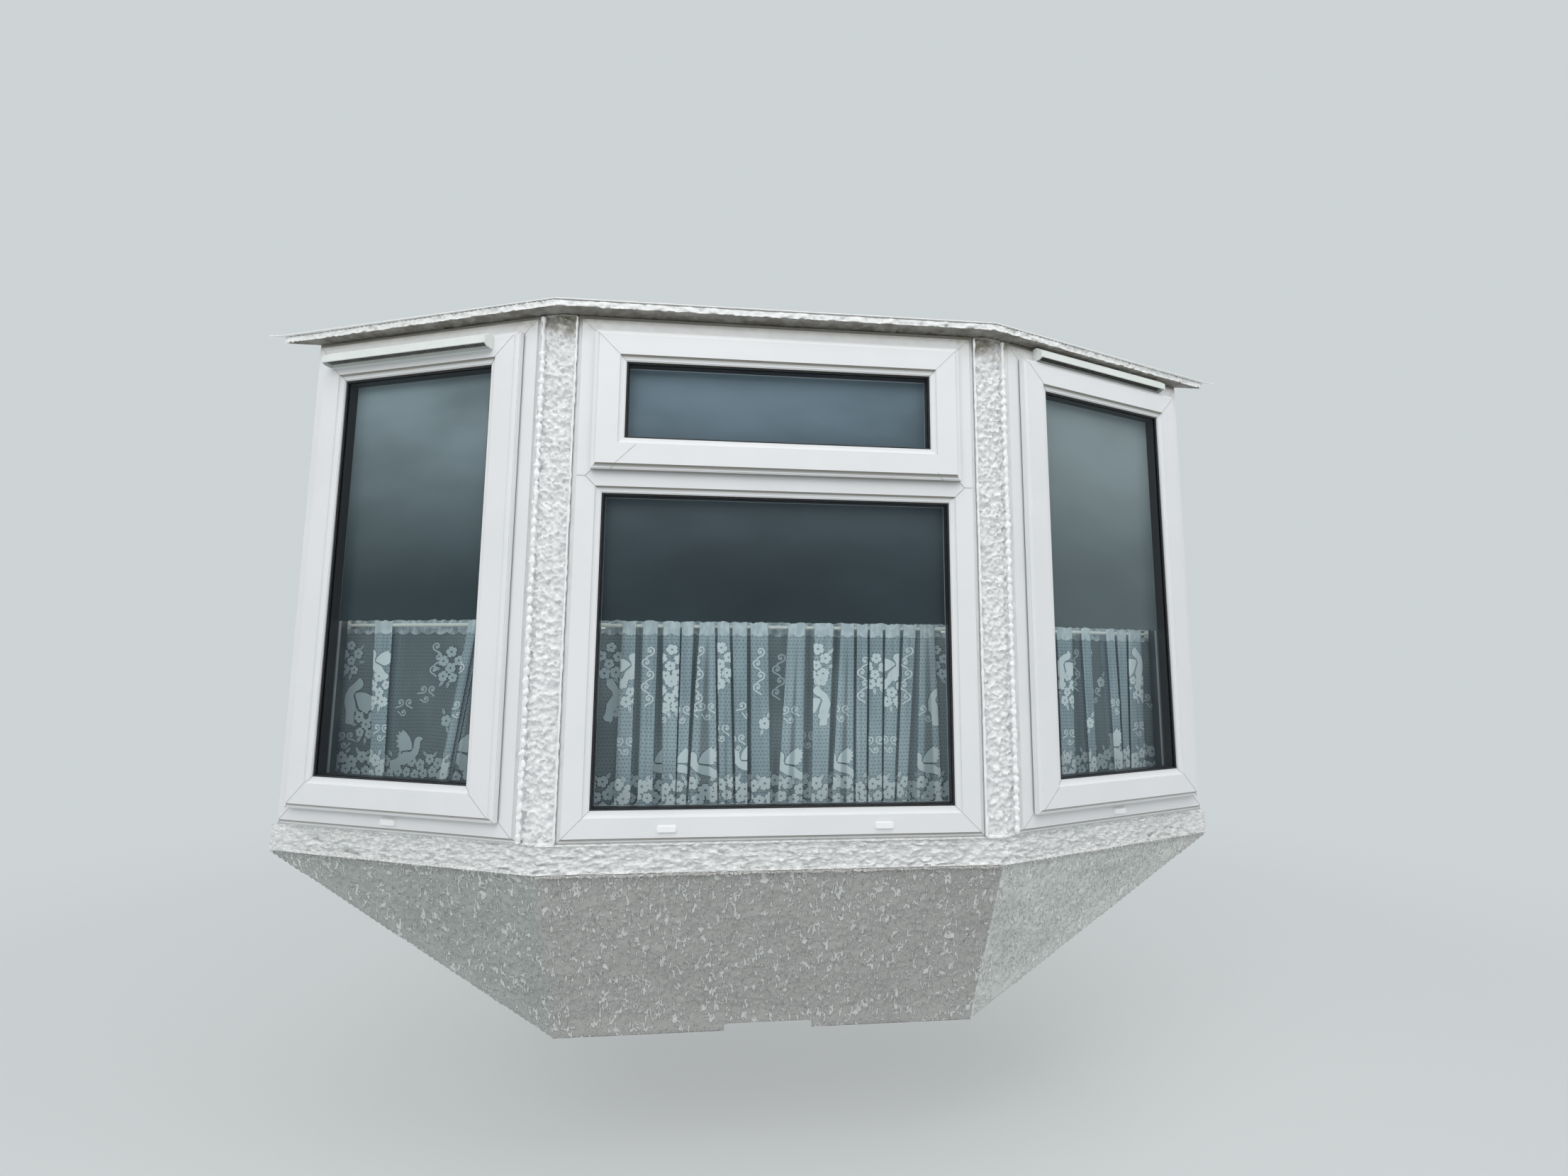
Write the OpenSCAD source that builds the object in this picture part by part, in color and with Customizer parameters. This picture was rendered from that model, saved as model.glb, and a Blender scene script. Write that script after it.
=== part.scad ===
// Canted three-light bay window for a park home.
// Millimetres, +Z up, front towards -Y. The origin is on the back face of the
// timber back frame, at the middle of its bottom rail.

/* [Bay plan] */
// Width of the centre window frame
centre_width = 880; // [600:10:1200]
// Width of each side window frame
side_width = 606; // [450:2:800]
// Height of all three window frames
frame_height = 1105; // [900:5:1400]
// Angle of the side windows to the wall, in degrees
side_angle = 18.8; // [12:0.2:35]
// Far edge of a side frame in front of the outer wall face
far_proud = 6; // [2:1:15]
// Gap between the centre frame and a side frame, along the wall
corner_gap_x = 77; // [60:1:110]
// Gap between the centre frame and a side frame, square to the wall
corner_gap_y = 10; // [6:0.5:45]
// How far the bay is let into the wall, from outer wall face to back face
wall_let_in = 84; // [82:1:140]

/* [Window frames] */
// Width of the outer frame's face, from its edge to the glass line
frame_face = 63; // [58:1:80]
// Depth of the outer frame, front to back
frame_depth = 70; // [66:1:80]
// Foot of the transom above the foot of the frame
transom_z = 714; // [500:1:900]
// Height of the transom's face
transom_face = 68; // [60:1:90]
// Foot of the frames above the origin
frame_z = 50; // [40:1:80]
// Reach of the glazing leg past the pocket that holds the glass
glazing_leg = 17; // [15:0.5:20]

/* [Mouldings] */
// Width of the moulding along the outer edge of a frame or sash
edge_width = 11; // [8:0.5:14]
// Drop of the moulding along the outer edge
edge_drop = 8; // [5:0.5:10]
// Width of the moulding beside the glass
glass_width = 13; // [9:0.5:15]
// Drop of the moulding beside the glass
glass_drop = 7; // [4:0.5:8]
// Depth of the glazing leg, from the face to the gasket
leg_depth = 10; // [9:0.5:14]
// Size of the small steps at both sides of a hollow
quirk = 1; // [0.5:0.1:1.5]

/* [Sashes] */
// How far a sash laps over the glazing leg of its outer frame
sash_lap = 22; // [20:0.5:26]
// Width of the sash's face
sash_face = 68; // [60:0.5:80]
// How far the sash stands in front of the outer frame
sash_proud = 21; // [14:1:24]
// Thickness of the seal between a sash and its outer frame
seal_thickness = 3; // [2:0.5:4]
// Gap for the hinges between a sash and the glazing leg of its frame
hinge_gap = 8; // [6:0.5:11]

/* [Glass] */
// Thickness of one pane
pane_thickness = 4; // [3:0.5:6]
// Space between the two panes of a unit
pane_gap = 20; // [12:1:22]
// Thickness of the black glazing gasket
gasket_thickness = 3; // [2:0.5:4]
// Gasket left in sight beside the glass
gasket_sight = 3.5; // [1:0.5:5]

/* [Hood, posts and apron] */
// Overhang of the hood board in front of the centre frame
hood_overhang = 28; // [10:1:60]
// Hood's front corner beyond the centre frame
hood_corner_out = 42; // [20:1:80]
// Hood's tip on the wall beyond the side frame
hood_tip_out = 81; // [30:1:150]
// Thickness of the hood board
hood_thickness = 17; // [12:1:40]
// Rendered corner of a post beyond the centre frame
post_corner_out = 36; // [10:1:45]
// Render on a post behind the face of the frames
post_setback = 4; // [1:1:10]
// Apron's tip on the wall beyond the side frame
apron_tip_out = 10; // [4:1:60]
// Height of the apron band
apron_height = 58; // [40:1:90]
// Thickness of the apron band
apron_thickness = 14; // [10:1:25]
// Apron band in front of the face of the frames
apron_proud = 2; // [0:1:10]

/* [Base] */
// Foot of the base below the foot of the frames
base_drop = 470; // [300:1:600]
// Base's foot on the wall beyond the centre frame
base_foot_out = 37; // [-100:1:100]
// Thickness of the base's rendered boards at the foot
base_board = 28; // [15:1:40]
// Width of the notch in the base's foot
notch_width = 200; // [50:10:400]
// Height of the notch in the base's foot
notch_height = 18; // [8:1:24]

/* [Timber and boards] */
// Width of the back frame's side rails
back_jamb = 130; // [110:1:200]
// Height of the back frame's top rail
back_rail_height = 90; // [60:1:120]
// Thickness of the inside boards
inside_board = 18; // [12:1:25]
// Height of the batten behind the base's foot
batten_height = 45; // [30:1:70]
// Diameter of the fixing holes in the back frame
fixing_hole = 10; // [6:0.5:14]
// Distance of the fixing holes from the edge of the centre frame
fixing_distance = 360; // [250:5:400]
// Fixing holes above the lower edge of their rail
fixing_up = 20; // [15:1:30]

/* [Vents and drain caps] */
// Length of a trickle vent hood
vent_length = 430; // [250:10:460]
// Slots in a trickle vent's grille
vent_slots = 52; // [20:1:80]
// How far a vent hood stands out
vent_reach = 26; // [18:1:32]
// Height of a vent hood's front
vent_front = 14; // [10:1:20]
// Middle of the left vent beyond the middle of its frame
left_vent_shift = 15; // [-20:1:20]
// Middle of the right vent beyond the middle of its frame
right_vent_shift = 1; // [-20:1:20]
// Length of a drain cap
drain_length = 40; // [30:1:50]
// Height of a drain cap
drain_height = 15; // [12:0.5:20]
// Drain caps of the centre frame from its jambs
drain_side = 218; // [80:1:260]

/* [Curtain rods and curtains] */
// Diameter of a curtain rod
rod_diameter = 8; // [6:1:12]
// Height of the curtain rods above the foot of the frames
rod_z = 438; // [300:1:650]
// Centre rod behind the back of its frame
rod_out = 28; // [24:1:50]
// Side rods behind the back of their sashes
side_rod_out = 19; // [19:1:24]
// Height of the curtain heading above the rod
heading_height = 14; // [5:1:30]
// Depth of a gathered curtain
curtain_depth = 24; // [16:1:26]

/* [Handles] */
// Height of the side windows' handles above the foot of the frames
handle_z = 620; // [300:5:700]
// Length of a handle's lever
lever_length = 110; // [80:1:130]
// Length of a handle's base plate
plate_length = 120; // [90:1:140]
// Width of a handle's base plate
plate_width = 26; // [20:1:30]

/* [Hidden] */
// Clearances: between boards and frames, and the sealant joint of a post
clear = 0.5;
joint = 1;
// Room behind a side frame, in front of the back board
seat_gap = 2;
// Overlength of a cutting body
over = 20;

// Plan
projection = corner_gap_y + side_width * sin(side_angle) + far_proud;
wall_y = -wall_let_in;
front_y = wall_y - projection;
side_x = centre_width / 2 + corner_gap_x;
side_y = front_y + corner_gap_y;
far_x = side_x + side_width * cos(side_angle);
side_rear_x = side_x - frame_depth * sin(side_angle);
side_rear_y = side_y + frame_depth * cos(side_angle);
corner_x = centre_width / 2 + post_corner_out;
hood_corner_x = centre_width / 2 + hood_corner_out;
hood_tip_x = far_x + hood_tip_out;
hood_front = projection + hood_overhang;
apron_front = projection + apron_proud;
apron_tip_x = far_x + apron_tip_out;
base_foot_x = centre_width / 2 + base_foot_out;

// Heights
frame_top = frame_z + frame_height;
apron_foot = frame_z - apron_height;
foot_z = frame_z - base_drop;
back_foot = -frame_z;
back_top = frame_top + hood_thickness;

// Timber
back_board = wall_let_in + far_proud - frame_depth * cos(side_angle) - seat_gap;
back_opening_x = far_x - back_jamb;
fix_x = centre_width / 2 + fixing_distance;
jamb_wedge = 80;

// Frames and sashes
pocket = frame_face - glazing_leg;
fan_foot = transom_z + transom_face - frame_face;
fan_height = frame_height - fan_foot;
fixed_height = transom_z + frame_face;
sash_reveal = frame_face - sash_lap;
sash_body = sash_lap + hinge_gap;
sash_pocket = sash_face - glazing_leg;
sash_leg = leg_depth - sash_proud;
sash_back = frame_depth - sash_proud;
sash_width = side_width - 2 * sash_reveal;
sash_height = frame_height - 2 * sash_reveal;
fan_sash_width = centre_width - 2 * sash_reveal;
fan_sash_height = fan_height - 2 * sash_reveal;
seal_width = 5;
seal_inset = sash_lap - glass_width - seal_width - joint;
lip = 2;

// Sealed units
edge_room = 5;
unit = 2 * pane_thickness + pane_gap;
inner_gasket = gasket_thickness - joint;

// Places

module at_centre() {
  translate([-centre_width / 2, front_y, frame_z]) children();
}

module at_right() {
  translate([side_x, side_y, frame_z]) rotate([0, 0, side_angle]) children();
}

module at_left() {
  mirror([1, 0, 0]) at_right() children();
}

module both_sides() {
  children();
  mirror([1, 0, 0]) children();
}

// The outline of the bay in plan: a front edge, two raking sides and the wall.
// inset moves all three edges towards the wall.
function rake(front, x0, x1) = atan(front / (x1 - x0));
function outline(x0, front, x1, inset) = [
  [-x1 + inset / sin(rake(front, x0, x1)), wall_y],
  [-x0 + inset * tan(rake(front, x0, x1) / 2), wall_y - front + inset],
  [x0 - inset * tan(rake(front, x0, x1) / 2), wall_y - front + inset],
  [x1 - inset / sin(rake(front, x0, x1)), wall_y]
];

module slab(points, z, height) {
  translate([0, 0, z]) linear_extrude(height = height) polygon(points);
}

// Mitred rings of window profile. A profile is a list of [depth, inset] points:
// depth from the face of the outer frame, inset from the ring's outer edge.
// Four bars with the inner half of the profile cross at the corners, where
// their mouldings meet in mitres. The outer half then cuts them to the outline
// from both directions, which gives the mitres of the outer moulding.

module along_x(start, length, profile) {
  translate([start, 0, 0]) rotate([90, 0, 90]) linear_extrude(height = length) polygon(profile);
}

module turned(width) {
  translate([width, 0, 0]) rotate([0, -90, 0]) children();
}

function both_edges(outer, length) =
  concat(outer, [for (i = [len(outer) - 1 : -1 : 0]) [outer[i][0], length - outer[i][1]]]);

module facing_bars(length, apart, inner) {
  along_x(-joint, length + 2 * joint, inner);
  translate([length, 0, apart]) rotate([0, 180, 0]) along_x(-joint, length + 2 * joint, inner);
}

module ring(width, height, inner, outer) {
  intersection() {
    union() {
      facing_bars(width, height, inner);
      turned(width) facing_bars(height, width, inner);
    }
    along_x(-over, width + 2 * over, both_edges(outer, height));
    turned(width) along_x(-over, height + 2 * over, both_edges(outer, width));
  }
}

module ring_band(width, height, d0, d1, s0, s1) {
  difference() {
    translate([s0, d0, s0]) cube([width - 2 * s0, d1 - d0, height - 2 * s0]);
    translate([s1, d0 - over, s1])
      cube([width - 2 * s1, d1 - d0 + 2 * over, height - 2 * s1]);
  }
}

// A hollow moulding between two small steps. It starts on the flat face at
// inset s0 and runs width towards the profile's edge, which lies drop behind
// the face. way is -1 towards the outer edge and 1 towards the glass.
hollow_steps = 4;
function moulding(face, s0, width, drop, way) = concat(
  [[face, s0], [face + quirk, s0 + way * quirk / 2]],
  [for (i = [1 : hollow_steps])
    [
      face + quirk + (drop - 2 * quirk) * sin(90 * i / hollow_steps),
      s0 + way * (quirk / 2 + (width - lip - quirk / 2) * (1 - cos(90 * i / hollow_steps)))
    ]],
  [[face + drop, s0 + way * (width - lip)], [face + drop, s0 + way * width]]
);
function reversed(points) = [for (i = [len(points) - 1 : -1 : 0]) points[i]];

function edge_moulding(face) = concat(
  [[face - over, edge_width]],
  moulding(face, edge_width, edge_width, edge_drop, -1));
function glass_moulding(face, width) =
  moulding(face, width - glass_width, glass_width, glass_drop, 1);

frame_outer = concat(edge_moulding(0), [[frame_depth + over, 0]]);
frame_inner = concat(
  [[0, -joint]],
  glass_moulding(0, frame_face),
  [
    [leg_depth, frame_face], [leg_depth, pocket],
    [frame_depth, pocket], [frame_depth, -joint]
  ]);

transom_profile = concat(
  reversed([for (p = glass_moulding(0, glass_width)) [p[0], glass_width - p[1]]]),
  glass_moulding(0, transom_face),
  [
    [leg_depth, transom_face], [leg_depth, transom_face - glazing_leg],
    [frame_depth, transom_face - glazing_leg], [frame_depth, glazing_leg],
    [leg_depth, glazing_leg], [leg_depth, 0]
  ]);

sash_outer = concat(
  edge_moulding(-sash_proud),
  [[-seal_thickness, 0], [-seal_thickness, sash_body], [sash_back + over, sash_body]]);
sash_inner = concat(
  [[-sash_proud, -joint]],
  glass_moulding(-sash_proud, sash_face),
  [
    [sash_leg, sash_face], [sash_leg, sash_pocket],
    [sash_back, sash_pocket], [sash_back, -joint]
  ]);

// What a glazed opening holds. leg is the depth of the glazing leg's back, edge
// the inset of the glass line, seat the inset of the pocket and back the depth
// of the profile's back.

module panes(width, height, leg, seat) {
  cut = seat + edge_room;
  front = leg + gasket_thickness;
  for (d = [front, front + pane_thickness + pane_gap])
    translate([cut, d, cut])
      cube([width - 2 * cut, pane_thickness, height - 2 * cut]);
}

module unit_spacer(width, height, leg, edge, seat) {
  d = leg + gasket_thickness + pane_thickness;
  ring_band(width, height, d, d + pane_gap, seat + edge_room + joint, edge + gasket_sight + clear);
}

module unit_gaskets(width, height, leg, edge) {
  outer = edge - glazing_leg / 2;
  ring_band(width, height, leg, leg + gasket_thickness, outer, edge + gasket_sight);
  d = leg + gasket_thickness + unit;
  ring_band(width, height, d, d + inner_gasket, outer, edge - lip);
}

module unit_bead(width, height, leg, edge, seat, back) {
  d = leg + gasket_thickness + unit + inner_gasket;
  ring(width, height,
    [
      [d, seat - joint], [d, edge - joint], [d + 2 * lip, edge],
      [back, edge - glazing_leg / 2], [back, seat - joint]
    ],
    [[d - over, seat], [back + over, seat]]);
}

// The four glazed openings, each at its own place.

module in_sash() {
  translate([sash_reveal, 0, sash_reveal]) children();
}

module in_fan() {
  translate([sash_reveal, 0, sash_reveal + fan_foot]) children();
}

// Hood, posts and render

// An outline in plan that runs on through the wall up to the back board.
function through_wall(points, x) = concat(points,
  [[x, wall_y], [x, -back_board], [-x, -back_board], [-x, wall_y]]);

module hood_board() {
  color("white") slab(
    through_wall(outline(hood_corner_x, hood_front, hood_tip_x, 0), far_x),
    frame_top, hood_thickness);
}

strip_thickness = 1.5;
strip_width = 12;
strip_tail = 34;

module drip_strip() {
  tip = [[hood_tip_x, wall_y - strip_width / 2], [hood_tip_x + strip_tail, wall_y]];
  front = outline(hood_corner_x, hood_front, hood_tip_x, 0);
  color("white") difference() {
    slab([
      [-tip[1][0], wall_y], [-tip[0][0], tip[0][1]], front[1], front[2], tip[0], tip[1]
    ], back_top, strip_thickness);
    slab(outline(hood_corner_x, hood_front, hood_tip_x, strip_width),
      back_top - over, 2 * over);
  }
}

module post() {
  n = [sin(side_angle), -cos(side_angle)];
  near = [side_x - joint, side_y];
  edge_x = centre_width / 2 + joint;
  slab([
    [edge_x, front_y + post_setback], [corner_x, front_y + post_setback],
    near - post_setback * n, near - frame_depth * n, [edge_x, front_y + frame_depth]
  ], frame_z, frame_height);
}

module post_right() {
  color("white") post();
}

module post_left() {
  color("white") mirror([1, 0, 0]) post();
}

apron_outside = outline(corner_x, apron_front, apron_tip_x, 0);
apron_inside = outline(corner_x, apron_front, apron_tip_x, apron_thickness);

module apron_band() {
  color("white") difference() {
    slab(apron_outside, apron_foot, apron_height);
    slab(concat(apron_inside,
      [[apron_tip_x / 2, wall_y + over], [-apron_tip_x / 2, wall_y + over]]),
      apron_foot - over, apron_height + 2 * over);
  }
}

// The base: three flat boards that run down to the wall and meet along the
// hips. board_z is the height of their inner face at the wall.
board_z = foot_z + base_board;
function hip_x(z) =
  base_foot_x + (corner_x - base_foot_x) * (z - foot_z) / (apron_foot - foot_z);

module base_centre() {
  color("white") intersection() {
    translate([-base_foot_x - over, 0, 0]) rotate([90, 0, 90])
      linear_extrude(height = 2 * (base_foot_x + over))
        polygon([
          [apron_outside[1][1], apron_foot], [wall_y, foot_z],
          [wall_y, board_z], [apron_inside[1][1], apron_foot]
        ]);
    translate([0, over, 0]) rotate([90, 0, 0])
      linear_extrude(height = projection + wall_let_in + 3 * over)
        polygon([
          [-corner_x, apron_foot], [corner_x, apron_foot], [base_foot_x, foot_z],
          [notch_width / 2, foot_z], [notch_width / 2, foot_z + notch_height],
          [-notch_width / 2, foot_z + notch_height], [-notch_width / 2, foot_z],
          [-base_foot_x, foot_z]
        ]);
  }
}

module base_side() {
  tip_outside = apron_outside[3][0];
  tip_inside = apron_inside[3][0];
  polyhedron(
    points = [
      [corner_x, apron_outside[2][1], apron_foot], [tip_outside, wall_y, apron_foot],
      [base_foot_x, wall_y, foot_z],
      [corner_x, apron_inside[2][1], apron_foot], [tip_inside, wall_y, apron_foot],
      [hip_x(board_z), wall_y, board_z]
    ],
    faces = [[0, 2, 1], [3, 4, 5], [0, 1, 4, 3], [0, 3, 5, 2], [1, 2, 5, 4]]);
}

module base_right() {
  color("white") base_side();
}

module base_left() {
  color("white") mirror([1, 0, 0]) base_side();
}

module base_batten() {
  batten_foot = board_z + edge_room;
  slope = (apron_front - apron_thickness) / (apron_foot - board_z);
  color("tan") translate([over - base_foot_x, 0, 0]) rotate([90, 0, 90])
    linear_extrude(height = 2 * (base_foot_x - over))
      polygon([
        [wall_y, batten_foot], [wall_y, batten_foot + batten_height],
        [wall_y - slope * batten_height, batten_foot + batten_height]
      ]);
}

// Timber and inside boards

module jamb_wedge() {
  rear = [far_x - frame_depth * sin(side_angle), clear - back_board - seat_gap];
  near = rear - jamb_wedge * [cos(side_angle), sin(side_angle)];
  slab([rear, near, [near[0], joint - back_board], [rear[0], joint - back_board]],
    frame_z, frame_height);
}

module back_frame() {
  color("tan") difference() {
    union() {
      translate([-far_x, -back_board, back_foot])
        cube([2 * far_x, back_board, back_top - back_foot]);
      both_sides() jamb_wedge();
    }
    translate([-back_opening_x, -back_board - over, frame_z])
      cube([2 * back_opening_x, back_board + 2 * over, back_top - back_rail_height - frame_z]);
    for (x = [-fix_x, fix_x], z = [back_foot + fixing_up, back_top - back_rail_height + fixing_up])
      translate([x, over, z])
        rotate([90, 0, 0]) cylinder(d = fixing_hole, h = back_board + 2 * over);
  }
}

module bay_floor() {
  color("tan") slab(through_wall(apron_inside, far_x - joint), apron_foot, apron_height);
}

// The clear inside of the bay in plan, behind the window frames and as far
// back as the given plane.
function rear_y(x) = side_rear_y + (x - side_rear_x) * tan(side_angle) + joint;
function inside(back) = [
  [-centre_width / 2, front_y + frame_depth + clear],
  [centre_width / 2, front_y + frame_depth + clear],
  [side_rear_x, rear_y(side_rear_x)], [back_opening_x, rear_y(back_opening_x)],
  [back_opening_x, back], [-back_opening_x, back],
  [-back_opening_x, rear_y(back_opening_x)], [-side_rear_x, rear_y(side_rear_x)]
];

module window_board() {
  color("white") slab(inside(-clear), frame_z, inside_board);
}

module head_lining() {
  color("white") slab(inside(-back_board), frame_top - inside_board, inside_board);
}

// Window frames and sashes

module outer_frame(width) {
  ring(width, frame_height, frame_inner, frame_outer);
}

module frame_right() {
  color("white") at_right() outer_frame(side_width);
}

module frame_left() {
  color("white") at_left() outer_frame(side_width);
}

module frame_centre() {
  start = pocket - lip;
  color("white") at_centre() union() {
    outer_frame(centre_width);
    translate([start, 0, transom_z])
      rotate([90, 0, 90])
        linear_extrude(height = centre_width - 2 * start)
          polygon(transom_profile);
  }
}

module side_sash() {
  in_sash() ring(sash_width, sash_height, sash_inner, sash_outer);
}

module sash_right() {
  color("white") at_right() side_sash();
}

module sash_left() {
  color("white") at_left() side_sash();
}

module sash_fanlight() {
  color("white") at_centre() in_fan()
    ring(fan_sash_width, fan_sash_height, sash_inner, sash_outer);
}

module seal(width, height) {
  ring_band(width, height, -seal_thickness, 0, seal_inset, seal_inset + seal_width);
}

module sash_seals() {
  color("black") {
    both_sides() at_right() in_sash() seal(sash_width, sash_height);
    at_centre() in_fan() seal(fan_sash_width, fan_sash_height);
  }
}

// Glass

module side_panes() {
  in_sash() panes(sash_width, sash_height, sash_leg, sash_pocket);
}

module glass_right() {
  color("lightblue") at_right() side_panes();
}

module glass_left() {
  color("lightblue") at_left() side_panes();
}

module glass_fanlight() {
  color("lightblue") at_centre() in_fan()
    panes(fan_sash_width, fan_sash_height, sash_leg, sash_pocket);
}

module glass_fixed() {
  color("lightblue") at_centre() panes(centre_width, fixed_height, leg_depth, pocket);
}

module spacers() {
  color("silver") {
    both_sides() at_right() in_sash()
      unit_spacer(sash_width, sash_height, sash_leg, sash_face, sash_pocket);
    at_centre() in_fan()
      unit_spacer(fan_sash_width, fan_sash_height, sash_leg, sash_face, sash_pocket);
    at_centre() unit_spacer(centre_width, fixed_height, leg_depth, frame_face, pocket);
  }
}

module gaskets() {
  color("black") {
    both_sides() at_right() in_sash()
      unit_gaskets(sash_width, sash_height, sash_leg, sash_face);
    at_centre() in_fan()
      unit_gaskets(fan_sash_width, fan_sash_height, sash_leg, sash_face);
    at_centre() unit_gaskets(centre_width, fixed_height, leg_depth, frame_face);
  }
}

module beads() {
  color("white") {
    both_sides() at_right() in_sash()
      unit_bead(sash_width, sash_height, sash_leg, sash_face, sash_pocket, sash_back);
    at_centre() in_fan()
      unit_bead(fan_sash_width, fan_sash_height, sash_leg, sash_face, sash_pocket, sash_back);
    at_centre()
      unit_bead(centre_width, fixed_height, leg_depth, frame_face, pocket, frame_depth);
  }
}

// Sealant between a post and the two frames beside it

sealant_size = 5;
sealant_end = 6;

module sealant_line() {
  n = [sin(side_angle), -cos(side_angle)];
  u = [cos(side_angle), sin(side_angle)];
  near = [centre_width / 2 + clear / 2, front_y + post_setback - clear / 2];
  far = [side_x, side_y] - post_setback * n - clear * u;
  height = frame_height - 2 * sealant_end;
  slab([near, near + [sealant_size, 0], near - [0, post_setback - clear]],
    frame_z + sealant_end, height);
  slab([far, far - sealant_size * u, far + (post_setback - clear) * n],
    frame_z + sealant_end, height);
}

module sealant() {
  color("white") both_sides() sealant_line();
}

// Trickle vents: a hood with a slotted grille in its underside

vent_rise = 19;
vent_fall = 12;
vent_crest = 11;
vent_skin = 2.5;
vent_lip = 8;
vent_shoulder = vent_front - vent_lip;
cap_thickness = 3;
vent_gap = 6;
vent_below_top = vent_rise + vent_gap;

hood_shell = [
  [0, vent_rise], [-vent_crest, vent_rise], [-vent_reach, vent_shoulder],
  [-vent_reach, -vent_lip], [vent_skin - vent_reach, -vent_lip],
  [vent_skin - vent_reach, vent_shoulder - joint], [joint - vent_crest, vent_rise - vent_skin],
  [-vent_skin, vent_rise - vent_skin], [-vent_skin, -vent_fall], [0, -vent_fall]
];
hood_cap = [
  [0, vent_rise], [-vent_crest, vent_rise], [-vent_reach, vent_shoulder],
  [-vent_reach, -vent_lip], [vent_lip - vent_reach, -vent_fall], [0, -vent_fall]
];

module drawn(start, length) {
  translate([start, 0, 0]) rotate([90, 0, 90]) linear_extrude(height = length) children();
}

module vent_body() {
  drawn(cap_thickness / 2, vent_length - cap_thickness) polygon(hood_shell);
  for (x = [0, vent_length - cap_thickness])
    drawn(x, cap_thickness) polygon(hood_cap);
}

grille_edge = 8;
grille_bar = 3;
grille_thickness = 2;
grille_z = -vent_lip / 2;

module vent_grille() {
  start = cap_thickness + clear;
  length = vent_length - 2 * start;
  depth = vent_reach - 2 * vent_skin - joint;
  pitch = (length - 2 * grille_edge) / vent_slots;
  translate([start, -depth - vent_skin - clear, grille_z]) difference() {
    cube([length, depth, grille_thickness]);
    for (i = [0 : vent_slots - 1])
      translate([grille_edge + (i + 0.25) * pitch, grille_bar, -joint])
        cube([pitch / 2, depth - 2 * grille_bar, grille_thickness + 2 * joint]);
  }
}

// The left vent sits on its sash, the right one on the head of its frame.

module at_left_vent() {
  at_left() translate([
    (side_width - vent_length) / 2 + left_vent_shift, -sash_proud,
    frame_height - sash_reveal - vent_below_top - joint
  ]) children();
}

module at_right_vent() {
  at_right() translate([
    (side_width - vent_length) / 2 + right_vent_shift, 0, frame_height - vent_below_top
  ]) children();
}

module vent_left() {
  color("white") at_left_vent() vent_body();
}

module vent_right() {
  color("white") at_right_vent() vent_body();
}

module vent_grilles() {
  color("dimgray") {
    at_left_vent() vent_grille();
    at_right_vent() vent_grille();
  }
}

// Drain caps: a rounded plate with a smaller hood on it

cap_corner = 5;
cap_plate = 1.5;
cap_proud = 5;
cap_rim = 2;
drain_z = (edge_width + frame_face - glass_width) / 2 - lip;
side_drain_z = (edge_width + sash_reveal) / 2 - lip;

module rounded_plate(length, height, corner, thickness) {
  rotate([90, 0, 0]) linear_extrude(height = thickness) {
    square([length - 2 * corner, height], center = true);
    square([length, height - 2 * corner], center = true);
    for (x = [-1, 1], z = [-1, 1])
      translate([x * (length / 2 - corner), z * (height / 2 - corner)]) circle(r = corner);
  }
}

module drain_cap() {
  rounded_plate(drain_length, drain_height, cap_corner, cap_plate);
  rounded_plate(drain_length - 2 * cap_rim, drain_height - 2 * cap_rim,
    cap_corner - cap_rim, cap_proud);
}

module drain_caps() {
  color("white") {
    for (x = [drain_side, centre_width - drain_side])
      at_centre() translate([x, 0, drain_z]) drain_cap();
    both_sides() at_right() translate([side_width / 2, 0, side_drain_z]) drain_cap();
  }
}

// Handles inside the room

plate_thickness = 8;
neck_length = 18;
neck_diameter = 16;
lever_width = 18;
lever_tip = 12;
lever_thickness = 10;
handle_inset = sash_reveal + (sash_body + sash_pocket) / 2;

module lever_outline() {
  circle(d = lever_width);
  translate([0, lever_length]) circle(d = lever_tip);
  polygon([
    [-lever_width / 2, 0], [lever_width / 2, 0],
    [lever_tip / 2, lever_length], [-lever_tip / 2, lever_length]
  ]);
}

module handle() {
  translate([-plate_width / 2, 0, -plate_length / 2])
    cube([plate_width, plate_thickness, plate_length]);
  translate([0, plate_thickness + neck_length, 0]) {
    translate([0, joint, 0])
      rotate([90, 0, 0]) cylinder(d = neck_diameter, h = neck_length + 2 * joint);
    rotate([-90, 0, 0]) linear_extrude(height = lever_thickness) lever_outline();
  }
}

module handles() {
  color("white") {
    both_sides() at_right() translate([handle_inset, sash_back, handle_z]) handle();
    at_centre() translate([centre_width / 2, sash_back, fan_foot + handle_inset])
      rotate([0, 90, 0]) handle();
  }
}

// Curtain rods with their brackets, and the net curtains as plain soft solids

bracket_width = 8;
bracket_height = 20;
bracket_lip = 2;
centre_end = pocket / 2;
side_end = sash_reveal + sash_pocket - bracket_width - joint;
rod_depth = frame_depth + rod_out;
side_rod_depth = sash_back + side_rod_out;
curtain_gap = 6;
curtain_foot = inside_board + curtain_gap;
rod_room = 1.2;

module rod(width, end, depth) {
  translate([end, depth, rod_z]) rotate([0, 90, 0])
    cylinder(d = rod_diameter, h = width - 2 * end);
}

module rods() {
  color("white") {
    both_sides() at_right() rod(side_width, side_end, side_rod_depth);
    at_centre() rod(centre_width, centre_end, rod_depth);
  }
}

module bracket_pair(width, end, back, depth) {
  for (x = [end - bracket_width, width - end])
    translate([x, back, rod_z - bracket_height / 2])
      cube([bracket_width, depth + rod_diameter / 2 + bracket_lip - back, bracket_height]);
}

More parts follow.
